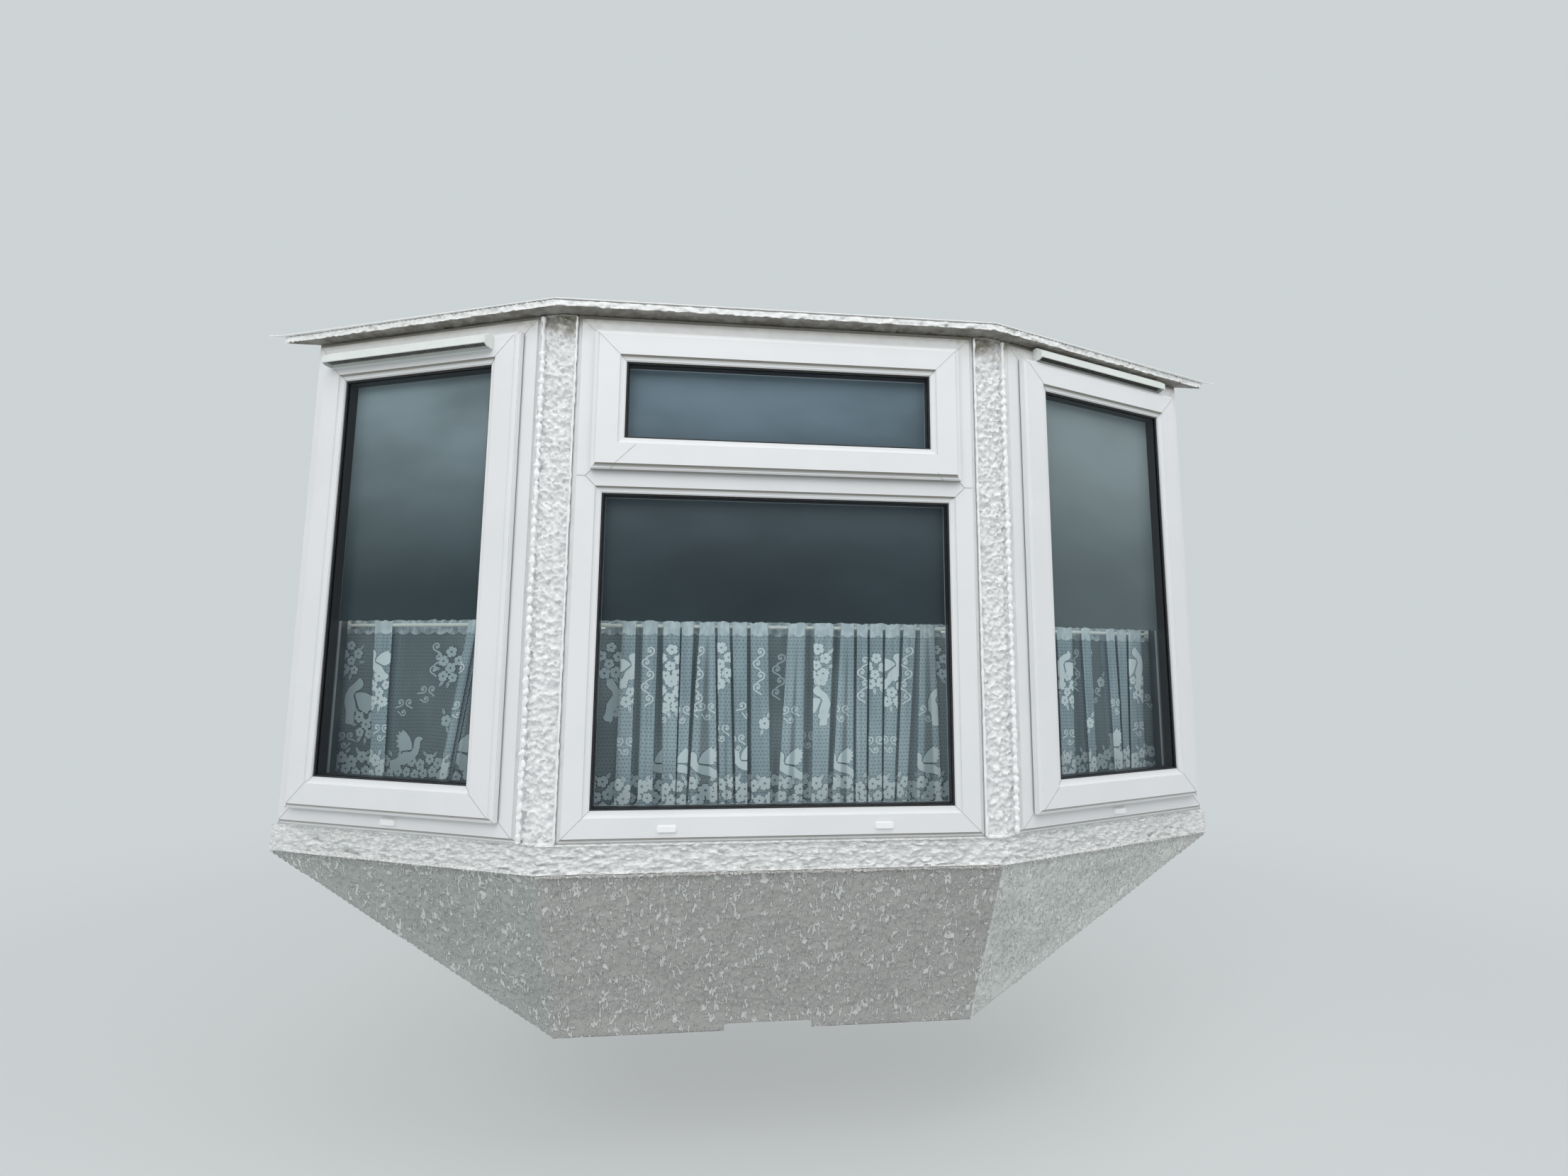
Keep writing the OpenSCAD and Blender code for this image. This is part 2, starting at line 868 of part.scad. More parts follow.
module rod_brackets() {
  color("white") {
    both_sides() at_right() bracket_pair(side_width, side_end, sash_back, side_rod_depth);
    at_centre() bracket_pair(centre_width, centre_end, frame_depth, rod_depth);
  }
}

module curtain(width, end, depth) {
  start = end + curtain_gap;
  difference() {
    translate([start, depth - curtain_depth / 2, curtain_foot])
      cube([width - 2 * start, curtain_depth, rod_z + heading_height - curtain_foot]);
    translate([0, depth, rod_z]) rotate([0, 90, 0])
      cylinder(d = rod_diameter + rod_room, h = width);
  }
}

module curtain_left() {
  color("ivory") at_left() curtain(side_width, side_end, side_rod_depth);
}

module curtain_right() {
  color("ivory") at_right() curtain(side_width, side_end, side_rod_depth);
}

module curtain_centre() {
  color("ivory") at_centre() curtain(centre_width, centre_end, rod_depth);
}

hood_board();
drip_strip();
post_left();
post_right();
apron_band();
base_left();
base_centre();
base_right();
base_batten();
back_frame();
bay_floor();
window_board();
head_lining();
frame_left();
frame_centre();
frame_right();
sash_left();
sash_fanlight();
sash_right();
sash_seals();
glass_left();
glass_fanlight();
glass_fixed();
glass_right();
spacers();
gaskets();
beads();
sealant();
vent_left();
vent_right();
vent_grilles();
drain_caps();
handles();
rods();
rod_brackets();
curtain_left();
curtain_centre();
curtain_right();
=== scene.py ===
# %% [markdown]
# # A canted bay window and its finishes
# The construction comes as a fixed frame of solids: window profiles, glass, posts, hood
# and base. This file dresses it. It gives every solid a finish, and it models what plain
# solids can't show: rough render, sealant squeezed from a gun, welded mitres and net
# curtains. The work goes in the order a reader would look at the real window.

import math
import random

import bmesh
import bpy
from mathutils import Matrix, Vector, noise


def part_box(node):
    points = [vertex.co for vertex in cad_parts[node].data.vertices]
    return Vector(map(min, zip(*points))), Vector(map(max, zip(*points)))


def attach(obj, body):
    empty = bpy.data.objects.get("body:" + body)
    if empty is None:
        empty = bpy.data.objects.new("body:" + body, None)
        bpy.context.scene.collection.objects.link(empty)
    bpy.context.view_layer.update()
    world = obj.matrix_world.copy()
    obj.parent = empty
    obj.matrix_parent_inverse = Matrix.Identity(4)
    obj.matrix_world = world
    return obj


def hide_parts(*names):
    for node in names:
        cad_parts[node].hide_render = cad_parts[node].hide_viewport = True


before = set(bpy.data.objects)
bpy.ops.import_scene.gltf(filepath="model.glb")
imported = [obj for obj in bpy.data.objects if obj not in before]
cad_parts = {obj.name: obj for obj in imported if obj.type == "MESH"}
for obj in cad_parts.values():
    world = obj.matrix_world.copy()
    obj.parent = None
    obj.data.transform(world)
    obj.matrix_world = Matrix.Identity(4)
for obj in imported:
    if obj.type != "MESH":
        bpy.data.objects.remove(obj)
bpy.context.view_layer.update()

# %% [markdown]
# ## Where the three windows stand
# The centre window faces the street. The side windows turn back to the wall by one angle,
# so all that is fixed to a window is easiest to place in that window's own axes: along
# the frame, into the room and up from its foot. The corners are read from the frame's
# solids, so this file needs only the angle and the depth of the profile.

# %% Window axes
SIDE_TURN = math.radians(18.8)
SINE, COSINE = math.sin(SIDE_TURN), math.cos(SIDE_TURN)
PROFILE_DEPTH = 0.070
centre_low, centre_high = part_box("frame_centre")
right_low, right_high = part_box("frame_right")
CENTRE_WIDTH = centre_high.x - centre_low.x
FRONT_Y = centre_low.y
FOOT_Z, HEAD_Z = centre_low.z, centre_high.z
FRAME_HEIGHT = HEAD_Z - FOOT_Z
SIDE_X, SIDE_Y = right_low.x + PROFILE_DEPTH * SINE, right_low.y
SIDE_WIDTH = (right_high.x - SIDE_X) / COSINE
SIDE_NAMES = {-1: "left", 0: "centre", 1: "right"}
WIDTHS = {-1: SIDE_WIDTH, 0: CENTRE_WIDTH, 1: SIDE_WIDTH}


def window_axes(side):
    """From a window's own axes (along, into the room, up) to those of the frame.

    side is -1 for the left window, 0 for the centre and 1 for the right.
    """
    if side == 0:
        along, inward = Vector((1, 0, 0)), Vector((0, 1, 0))
        corner = Vector((centre_low.x, FRONT_Y, FOOT_Z))
    else:
        along, inward = Vector((side * COSINE, SINE, 0)), Vector((-side * SINE, COSINE, 0))
        corner = Vector((side * SIDE_X, SIDE_Y, FOOT_Z))
    axes = Matrix((along, inward, Vector((0, 0, 1)))).transposed().to_4x4()
    return Matrix.Translation(corner) @ axes


print("side window:", round(SIDE_WIDTH, 4), "centre window:", round(CENTRE_WIDTH, 4))

# %% [markdown]
# ## Camera
# The picture was taken close up with a very wide lens, a little left of the middle and
# tilted slightly upwards. Place, lens and three small turns give the same view.

# %% Camera
CAMERA_PLACE = Vector((-0.1126, -1.6194, 0.4209))
TURN_RIGHT = math.radians(5.296)
TILT_UP = math.radians(6.285)
ROLL = math.radians(0.423)


def placed(name, data=None):
    """A new object that holds this data, in the scene."""
    thing = bpy.data.objects.new(name, data)
    bpy.context.scene.collection.objects.link(thing)
    return thing


camera_data = bpy.data.cameras.new("camera")
camera_data.lens = 14.486
camera_data.sensor_width = 36.0
camera_data.sensor_fit = "HORIZONTAL"
camera_data.clip_start = 0.05
camera = placed("camera", camera_data)
camera.matrix_world = (
    Matrix.Translation(CAMERA_PLACE)
    @ Matrix.Rotation(-TURN_RIGHT, 4, "Z")
    @ Matrix.Rotation(math.pi / 2 + TILT_UP, 4, "X")
    @ Matrix.Rotation(ROLL, 4, "Z")
)
bpy.context.scene.camera = camera
bpy.context.scene.view_settings.view_transform = "Standard"
print("camera at", [round(c, 3) for c in CAMERA_PLACE])

# %% [markdown]
# ## Amounts
# Every finish is a small graph of nodes. Written node by node such a graph is long and
# hard to follow, so an Amount stands for what a node gives out, and every sign of
# arithmetic on amounts adds the Math node that works it out.


# %% Amounts
class Amount:
    """What a node gives out: a number, a colour, a place or a shader."""

    def __init__(self, tree, socket):
        self.tree = tree
        self.socket = socket

    def math(self, operation, second=0.0):
        return gives(self.tree, "Math", {0: self, 1: second}, operation=operation)

    def __add__(self, other):
        return self.math("ADD", other)

    def __sub__(self, other):
        return self.math("SUBTRACT", other)

    def __rsub__(self, number):
        return gives(self.tree, "Math", {0: number, 1: self}, operation="SUBTRACT")

    def __mul__(self, other):
        return self.math("MULTIPLY", other)

    def __truediv__(self, other):
        return self.math("DIVIDE", other)

    def __gt__(self, other):
        return self.math("GREATER_THAN", other)

    def __lt__(self, other):
        return self.math("LESS_THAN", other)

    def __abs__(self):
        return self.math("ABSOLUTE")


def put(tree, kind, sockets=None, **settings):
    """Adds a shader node. A socket takes a number, a colour or an Amount."""
    node = tree.nodes.new("ShaderNode" + kind)
    for name, value in settings.items():
        setattr(node, name, value)
    for name, value in (sockets or {}).items():
        if isinstance(value, Amount):
            tree.links.new(value.socket, node.inputs[name])
        else:
            node.inputs[name].default_value = value
    return node


def gives(tree, kind, sockets=None, output=0, **settings):
    """Adds a shader node and hands on what comes out of it."""
    return Amount(tree, put(tree, kind, sockets, **settings).outputs[output])


# %% [markdown]
# ## Node helpers
# The same few steps come back in every finish: two colours are mixed, a noise is made in
# the object's own coordinates, where one unit is one metre, and a range of it is picked
# out. The last helper gives a finish its colour and its relief.


# %% Node helpers
def opaque(colour):
    return (*colour, 1.0)


def mixed(share, first, second):
    """The first colour where share is 0 and the second where it is 1."""
    first, second = (c if isinstance(c, Amount) else opaque(c) for c in (first, second))
    return gives(share.tree, "Mix", {0: share, 6: first, 7: second}, 2, data_type="RGBA")


def blended(share, first, second):
    """As above, for two numbers."""
    return gives(share.tree, "Mix", {0: share, 2: first, 3: second}, data_type="FLOAT")


def layered(share, first, second):
    """As above, for two shaders."""
    return gives(share.tree, "MixShader", {0: share, 1: first, 2: second})


def stretched(place, scale):
    """The coordinates multiplied along each axis."""
    return gives(place.tree, "Mapping", {"Vector": place, "Scale": scale})


def noise_of(place, scale, detail=3.0, roughness=0.55):
    return gives(place.tree, "TexNoise", {"Vector": place, "Scale": scale, "Detail": detail,
                                          "Roughness": roughness})


def span(value, low, high, to_low=0.0, to_high=1.0):
    """Maps low..high to to_low..to_high with soft ends and no overshoot."""
    limits = {"From Min": low, "From Max": high, "To Min": to_low, "To Max": to_high}
    return gives(value.tree, "MapRange", {"Value": value, **limits},
                 interpolation_type="SMOOTHSTEP")


def parts(vector):
    """The three parts of a place or a direction."""
    return [Amount(vector.tree, socket)
            for socket in put(vector.tree, "SeparateXYZ", {0: vector}).outputs]


def facing(place):
    """Which way the surface looks: to the right, into the building and up."""
    return parts(gives(place.tree, "NewGeometry", output="Normal"))


def ray_is(tree, *kinds):
    """1 for a ray of one of these kinds and 0 for any other."""
    rays = put(tree, "LightPath").outputs
    first, *others = (Amount(tree, rays["Is " + kind + " Ray"]) for kind in kinds)
    for other in others:
        first = first.math("MAXIMUM", other)
    return first


def show(tree, shader, output="Material Output"):
    tree.links.new(shader.socket, tree.nodes[output].inputs["Surface"])


def main_shader(tree):
    return tree.nodes["Principled BSDF"]


def new_finish(name, rough, **fixed):
    """A material with its constants set, and the object's own coordinates."""
    material = bpy.data.materials.new(name)
    material.use_nodes = True
    tree = material.node_tree
    for socket, value in {"Roughness": rough, **fixed}.items():
        main_shader(tree).inputs[socket.replace("_", " ")].default_value = value
    print("finish:", name)
    return material, gives(tree, "TexCoord", output="Object")


def painted(material, tone, relief, depth):
    """Gives a finish its colour and a bump whose height of 1 stands depth metres proud."""
    tree = material.node_tree
    bump = put(tree, "Bump", {"Height": relief, "Distance": depth, "Strength": 1.0})
    tree.links.new(tone.socket, main_shader(tree).inputs["Base Color"])
    tree.links.new(bump.outputs[0], main_shader(tree).inputs["Normal"])
    return material


# %% [markdown]
# ## Window profile
# White plastic profile is smooth with a satin gloss. A flat white would look like
# cardboard, so the finish has a faint haze of dust, a very fine surface ripple, painted
# shade in its grooves, a dark band under the hood that is partly dirt and partly painted
# shade of the hood, and the brown wash that rain carries down from the hood into the top
# corners. Edges that look to the ground are painted taupe: painted shade.

# %% Finish of the window profiles
POST_MIDDLE_X = 0.5 * (CENTRE_WIDTH / 2 + SIDE_X)
SATIN = 0.33
GROOVE_REACH = 0.010
RIPPLE_SCALE, RIPPLE_DEPTH = 900.0, 0.00003


def profile_finish():
    material, place = new_finish("white_profile", SATIN)
    x, _, z = parts(place)
    haze = span(noise_of(place, 6.0, 4.0), 0.3, 0.75)
    tone = mixed(haze, (0.81, 0.82, 0.835), (0.775, 0.79, 0.80))
    # A dark band under the hood: partly dirt, partly painted shade of the hood.
    hood_shade_and_film = span(z, HEAD_Z - 0.075, HEAD_Z + 0.005) * 0.30
    hood_shade_and_damp = span(z, HEAD_Z - 0.032, HEAD_Z - 0.003) * 0.82
    tone = mixed(hood_shade_and_film.math("MAXIMUM", hood_shade_and_damp), tone, (0.33, 0.31, 0.265))
    # Grooves and recesses are darkened where little is open around them: painted shade.
    open_share = gives(place.tree, "AmbientOcclusion", {"Distance": GROOVE_REACH}, "AO", samples=8)
    tone = mixed(span(open_share, 0.25, 0.80, 0.55, 0.0), tone, (0.26, 0.25, 0.235))
    # Faces that look to the ground are painted taupe: painted shade.
    downward_face_shade = span(facing(place)[2], -0.15, -0.6, 0.0, 0.9)
    tone = mixed(downward_face_shade, tone, (0.26, 0.24, 0.205))
    under_hood = span(z, HEAD_Z - 0.045, HEAD_Z)
    beside_post = span(abs(abs(x) - POST_MIDDLE_X), 0.05, 0.14, 1.0, 0.25)
    blotch = span(noise_of(place, 55.0, 5.0), 0.35, 0.7)
    tone = mixed(under_hood * beside_post * blotch, tone, (0.33, 0.30, 0.23))
    return painted(material, tone, noise_of(place, RIPPLE_SCALE, 2.0), RIPPLE_DEPTH)


def bead_finish():
    """The same plastic, but the narrow faces between glass and room lie in deep shade."""
    material, place = new_finish("glazing_bead", SATIN)
    narrow = span(abs(facing(place)[1]), 0.45, 0.65, 1.0, 0.0)
    haze = noise_of(place, 9.0)
    clean = mixed(haze, (0.80, 0.81, 0.82), (0.75, 0.76, 0.77))
    shaded = mixed(haze, (0.050, 0.056, 0.062), (0.090, 0.100, 0.108))
    return painted(material, mixed(narrow, clean, shaded), noise_of(place, RIPPLE_SCALE, 2.0),
                   RIPPLE_DEPTH)


def dress(material, *nodes):
    """Gives CAD solids their finish by the material slots of their objects."""
    for name in nodes:
        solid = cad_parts[name]
        if not solid.material_slots:
            solid.data.materials.append(material)
        for slot in solid.material_slots:
            slot.material = material


dress(profile_finish(), "frame_left", "frame_centre", "frame_right", "sash_left",
      "sash_fanlight", "sash_right")
dress(bead_finish(), "beads")

# %% [markdown]
# ## Glass
# From the street a window looks dark, because the room behind it takes in light, and on
# an overcast day it mirrors soft cloud. Both are painted here. Sealed units have two panes
# in one solid: the front pane is kept clear, so that the spacer bar shows in the gap, and
# the rear pane carries a painted dark tone: painted shade of the room with painted cloud
# reflections, lighter towards the top. This tone fades out in the lower part, where the net
# hangs and the glass is looked through, and its lower edge waves as the net's ruffled head
# does. The panes are told apart by their depth, which is the distance along the window's
# own inward direction. Daylight passes the painted tone and lights the net behind, as it
# does through a real pane.

# %% Finish of the glass
GAP_MIDDLE = 0.014
PAINTED_SHADE_FOOT, PAINTED_SHADE_HEAD = FOOT_Z + 0.4520, FOOT_Z + 0.4540
CLEAR_TINT = (0.965, 0.98, 0.982)
MIRROR_TINT = (0.70, 0.78, 0.84)
GLASS = {
    # node: window, depth of the unit's face behind the frame's face, painted shade at foot
    # and head, and the share of it that is left between the painted clouds
    "glass_fixed": (0, 0.013, (0.032, 0.048, 0.058), (0.165, 0.205, 0.240), 0.62),
    "glass_fanlight": (0, -0.008, (0.10, 0.14, 0.17), (0.175, 0.235, 0.285), 0.62),
    "glass_left": (-1, -0.008, (0.028, 0.044, 0.052), (0.275, 0.345, 0.375), 0.60),
    "glass_right": (1, -0.008, (0.110, 0.138, 0.146), (0.325, 0.385, 0.405), 0.80),
}


def way_along(place, direction):
    """How far a place lies in a direction."""
    return gives(place.tree, "VectorMath", {0: place, 1: direction}, "Value",
                 operation="DOT_PRODUCT")


def painted_pane_shade(place, along, foot_tone, head_tone, share_between_painted_clouds):
    """The colour of the painted shade and cloud reflection, and 1 where it covers the pane."""
    height = parts(place)[2]
    ruffle_place = gives(place.tree, "CombineXYZ", {0: way_along(place, along)})
    waved = height + noise_of(ruffle_place, 46.0, 2.0, 0.6) * 0.014
    # Painted cloud reflection, and towards the top a lighter painted reflection of the sky.
    painted_cloud = span(noise_of(stretched(place, (1.5, 1.5, 3.2)), 1.5, 4.0, 0.5), 0.3, 0.72)
    lift = span(height, FOOT_Z + 0.47, FOOT_Z + 1.02)
    dim = [[share_between_painted_clouds * c for c in tone] for tone in (foot_tone, head_tone)]
    tone = mixed(painted_cloud, mixed(lift, *dim), mixed(lift, foot_tone, head_tone))
    return tone, span(waved, PAINTED_SHADE_FOOT, PAINTED_SHADE_HEAD)


def glass_finish(name, side, front_depth, *tones):
    material, place = new_finish(name, 0.25, Specular_IOR_Level=0.2)
    tree = place.tree
    axes = window_axes(side)
    along, inward = axes.to_3x3() @ Vector((1, 0, 0)), axes.to_3x3() @ Vector((0, 1, 0))
    rear = way_along(place, inward) > inward.dot(axes.translation) + front_depth + GAP_MIDDLE
    # The rear pane carries the painted shade of the room and the painted cloud reflection.
    tone, painted_shade_cover = painted_pane_shade(place, along, *tones)
    tree.links.new(tone.socket, main_shader(tree).inputs["Base Color"])
    outside = 1.0 - gives(tree, "NewGeometry", output="Backfacing")
    gloss = gives(tree, "Fresnel", {"IOR": 1.33}) * outside * 0.8
    clear = gives(tree, "BsdfTransparent", {"Color": opaque(CLEAR_TINT)})
    mirror = gives(tree, "BsdfGlossy", {"Color": opaque(MIRROR_TINT), "Roughness": 0.02})
    painted_shade_cover = painted_shade_cover * (1.0 - ray_is(tree, "Shadow", "Diffuse"))
    show(tree, layered(rear * painted_shade_cover, layered(gloss, clear, mirror),
                       Amount(tree, main_shader(tree).outputs[0])))
    return material


for node, look in GLASS.items():
    dress(glass_finish(node + "_light", *look), node)

# %% [markdown]
# ## Spacer bars
# The bar between the panes is seen at a slant from the street. Its front part lies in the
# shade of the black gasket and only its rear edge catches the light, as a thin bright
# line. The depth behind the glass face is worked out from the object's coordinates, and
# both side windows share one rule because they mirror each other.

# %% Finish of the spacer bars
BAR_REAR = 0.016
FIXED_SET_BACK = 0.021
BESIDE_CENTRE = 0.5
MID_TRANSOM = 0.75


def spacer_finish():
    material, place = new_finish("spacer_bar", 0.35, Metallic=0.5)
    x, y, z = parts(place)
    across = abs(x)
    in_side = across > BESIDE_CENTRE
    side_depth = y * COSINE - across * SINE - (COSINE * SIDE_Y - SINE * SIDE_X)
    centre_rear = (z < FOOT_Z + MID_TRANSOM) * FIXED_SET_BACK + BAR_REAR
    depth = blended(in_side, y - FRONT_Y, side_depth)
    edge = span(depth - blended(in_side, centre_rear, BAR_REAR), -0.0042, -0.0030)
    brushed = noise_of(stretched(place, (1, 1, 8)), 500.0)
    bright = mixed(brushed, (0.50, 0.51, 0.53), (0.70, 0.71, 0.73))
    shaded = mixed(brushed, (0.016, 0.016, 0.018), (0.035, 0.035, 0.038))
    return painted(material, mixed(edge, shaded, bright), brushed, 0.00003)


dress(spacer_finish(), "spacers")

# %% [markdown]
# ## Small parts of the window
# Gaskets, vents, rods, handles and boards are plain materials, but none is a single
# colour: rubber is dull and dusty, and the plastics differ in warmth, as parts from
# different makers do. One function serves them all, and a table holds what differs.

# %% Finishes of the small parts
SMALL_PARTS = [
    # finish, roughness, darker and lighter colour, scale and depth of the pattern, nodes
    ("black_rubber", 0.55, (0.012, 0.012, 0.013), (0.030, 0.030, 0.031), 220.0, 0.00010,
     ["gaskets", "sash_seals"]),
    ("vent_plastic", 0.36, (0.74, 0.79, 0.76), (0.80, 0.84, 0.815), 14.0, 0.00002,
     ["vent_left", "vent_right"]),
    ("grille_plastic", 0.6, (0.10, 0.098, 0.09), (0.17, 0.165, 0.15), 160.0, 0.00010,
     ["vent_grilles"]),
    ("rod_enamel", 0.28, (0.76, 0.76, 0.71), (0.83, 0.83, 0.79), 60.0, 0.00004,
     ["rods", "rod_brackets"]),
    ("cap_plastic", 0.30, (0.90, 0.905, 0.91), (0.95, 0.955, 0.96), 30.0, 0.00003,
     ["drain_caps"]),
    ("handle_plastic", 0.30, (0.80, 0.80, 0.80), (0.86, 0.86, 0.86), 40.0, 0.00003,
     ["handles"]),
    ("inside_board", 0.40, (0.80, 0.80, 0.79), (0.86, 0.86, 0.85), 9.0, 0.00005,
     ["window_board", "head_lining"]),
    ("strip_paint", 0.5, (0.88, 0.88, 0.86), (0.95, 0.95, 0.94), 120.0, 0.0004,
     ["drip_strip"]),
]


def plain_finish(name, rough, dark, light, scale, ripple):
    """Two close colours blended by noise, and a fine bump from the same noise."""
    material, place = new_finish(name, rough)
    pattern = noise_of(place, scale, 4.0)
    return painted(material, mixed(span(pattern, 0.3, 0.7), dark, light), pattern, ripple)


for *look, nodes in SMALL_PARTS:
    dress(plain_finish(*look), *nodes)

# %% [markdown]
# ## Sawn timber
# The back frame, the floor and the batten are sawn softwood. Growth rings cut lengthwise
# give long streaks, so the noise is stretched along each member. Upright members stand
# beside the opening and level ones run above and below it, and the streaks turn there.
# The faces that line the opening are coloured dark grey as painted shade of the dark
# room, so that they don't shine through the glass. The floor has a white coat on the edge
# that looks to the street.

# %% Finish of the timber
OPENING_HALF = 0.95


def timber_finish(name, coated=False):
    material, place = new_finish(name, 0.7)
    x = parts(place)[0]
    to_right, to_room, _ = facing(place)
    level, upright = (noise_of(stretched(place, along), 2.2, 6.0, 0.62)
                      for along in ((3, 60, 60), (60, 60, 3)))
    streak = blended(abs(x) > OPENING_HALF, level, upright)
    blotch = noise_of(place, 5.0)
    pale = mixed(span(blotch, 0.3, 0.7), (0.60, 0.43, 0.26), (0.70, 0.54, 0.35))
    wood = mixed(span(streak, 0.38, 0.66), (0.42, 0.27, 0.14), pale)
    # Faces that line the opening are painted dark: painted shade of the dark room.
    painted_room_shade = mixed(blotch, (0.105, 0.110, 0.112), (0.150, 0.156, 0.160))
    wood = mixed(to_right * x < -0.5, wood, painted_room_shade)
    if coated:
        white_paint = mixed(blotch, (0.60, 0.61, 0.60), (0.82, 0.83, 0.82))
        wood = mixed(to_room < -0.2, wood, white_paint)
    return painted(material, wood, streak, 0.0006)


dress(timber_finish("sawn_timber"), "back_frame", "base_batten")
dress(timber_finish("floor_timber", coated=True), "bay_floor")

# %% [markdown]
# ## Light
# The photograph has the even light of an overcast day, which comes from above: edges that
# face the ground are clearly darker. A pale world that dims towards the ground gives
# that. Camera, gloss and see-through rays meet a plain pale background.

# %% Light
BACKGROUND = (0.61, 0.655, 0.665)
SKY_STRENGTH = 0.86
world = bpy.data.worlds.new("overcast")
bpy.context.scene.world = world
world.use_nodes = True
sky = world.node_tree
upward = parts(gives(sky, "TexCoord", output="Generated"))[2]
sky_tone = mixed(span(upward, -0.25, 0.55), (0.30, 0.295, 0.28), (0.98, 0.99, 1.0))
sky_light = sky.nodes["Background"]
sky_light.inputs["Strength"].default_value = SKY_STRENGTH
sky.links.new(sky_tone.socket, sky_light.inputs["Color"])
backdrop = gives(sky, "Background", {"Color": opaque(BACKGROUND), "Strength": 1.0})
show(sky, layered(ray_is(sky, "Camera", "Glossy", "Transmission"),
                  Amount(sky, sky_light.outputs[0]), backdrop), "World Output")
print("world:", world.name, "at", SKY_STRENGTH)

# %% [markdown]
# ## Floor and lamps
# The window hangs on a wall, so the floor lies well below it. A wide disc fades into the
# background with distance, and so no horizon shows. Two large lamps on the street side
# add a little shape: large, so that their shadows are soft, and hidden from the gloss, so
# that the glass doesn't mirror them.

# %% Floor and lamps
FLOOR_Z = -0.80


def settled(name):
    """Names a new primitive and moves its place, turn and size into its mesh."""
    piece = bpy.context.object
    piece.name = name
    bpy.ops.object.transform_apply(location=True, rotation=True, scale=True)
    return piece


def soft_lamp(name, place_at, aim, size, power):
    lamp_data = bpy.data.lights.new(name, "AREA")
    lamp_data.shape = "RECTANGLE"
    lamp_data.size, lamp_data.size_y = size
    lamp_data.energy = power
    lamp = placed(name, lamp_data)
    lamp.location = place_at
    lamp.rotation_euler = (Vector(aim) - Vector(place_at)).to_track_quat("-Z", "Y").to_euler()
    lamp.visible_glossy = False


bpy.ops.object.select_all(action="DESELECT")
bpy.ops.mesh.primitive_circle_add(vertices=96, radius=9.0, fill_type="NGON",
                                  location=(0, 0, FLOOR_Z))
floor = settled("floor")
floor_finish, place = new_finish("floor_finish", 0.9, Base_Color=opaque((0.60, 0.63, 0.635)))
away = gives(place.tree, "VectorMath", {0: place}, "Value", operation="LENGTH")
flat_tone = gives(place.tree, "Emission", {"Color": opaque(BACKGROUND), "Strength": 1.0})
show(place.tree, layered(span(away, 1.6, 5.0),
                         Amount(place.tree, main_shader(place.tree).outputs[0]), flat_tone))
floor.data.materials.append(floor_finish)
soft_lamp("front_soft", (-1.4, -4.0, 3.4), (0, -0.1, 0.45), (4.0, 2.2), 62)
soft_lamp("top_soft", (0.6, -1.9, 4.0), (0, -0.1, 0.6), (3.4, 2.2), 46)
print("lamps ready, floor at", FLOOR_Z)

# %% [markdown]
# ## Tools for pieces
# Every new piece is made the same way: start from a shape, work on it in edit mode, apply
# its modifiers, give it its finish and let it ride on the fixed frame. These helpers hold
# the steps that come back each time.


# %% Tools for pieces
def take_up(piece):
    """Makes one object the only selected one and the active one."""
    if bpy.context.mode != "OBJECT":
        bpy.ops.object.mode_set(mode="OBJECT")
    bpy.ops.object.select_all(action="DESELECT")
    piece.select_set(True)
    bpy.context.view_layer.objects.active = piece


def work_on(piece):
    """Opens a piece in edit mode with all of it selected."""
    take_up(piece)
    bpy.ops.object.mode_set(mode="EDIT")
    bpy.ops.mesh.select_all(action="SELECT")


def close_up():
    """Turns all faces outwards and leaves edit mode."""
    bpy.ops.mesh.select_all(action="SELECT")
    bpy.ops.mesh.normals_make_consistent(inside=False)
    bpy.ops.object.mode_set(mode="OBJECT")


def solid_copy(node, name):
    """A copy of a CAD solid with its loose triangles merged into one skin."""
    piece = placed(name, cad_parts[node].data.copy())
    work_on(piece)
    bpy.ops.mesh.remove_doubles(threshold=0.00002)
    close_up()
    return piece


def joined(pieces, name):
    """One object from several."""
    take_up(pieces[0])
    for piece in pieces:
        piece.select_set(True)
    if len(pieces) > 1:
        bpy.ops.object.join()
    pieces[0].name = name
    return pieces[0]


def add_modifier(piece, kind, **settings):
    """Adds one modifier with its settings and applies it."""
    take_up(piece)
    modifier = piece.modifiers.new(kind.lower(), kind)
    for name, value in settings.items():
        setattr(modifier, name, value)
    bpy.ops.object.modifier_apply(modifier=modifier.name)


def finish_piece(piece, material, slot, *replaced, smooth=None):
    """Puts the finish on a piece and ties it to the frame."""
    piece.data.materials.clear()
    piece.data.materials.append(material)
    take_up(piece)
    if smooth is not None:
        bpy.ops.object.shade_smooth_by_angle(angle=math.radians(smooth))
    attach(piece, "root")
    if replaced:
        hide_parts(*replaced)
    count = sum(len(face.vertices) - 2 for face in piece.data.polygons)
    print(piece.name, "triangles:", count)


# %% [markdown]
# ## Rough render
# The posts, hood, apron and base are boarded and thickly coated. The coating is a real
# relief of several millimetres, so a bump map alone would leave the outlines too crisp.
# Each solid is copied, remeshed into small even squares, and pressed inwards by noise, so
# that it never grows past the construction. Every piece gets a broad swell, a coarse
# pattern and a fine one: a roller's squiggles on posts, apron and base, and rounder lumps
# on the hood.

# %% Patterns of the render
WALL_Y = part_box("apron_band")[1].y
HOOD_TOP_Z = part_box("hood_board")[1].z


def relief_texture(name, kind, scale, **settings):
    texture = bpy.data.textures.new(name, kind)
    texture.noise_scale = scale
    for key, value in settings.items():
        setattr(texture, key, value)
    print("pattern:", name, "at", scale)
    return texture


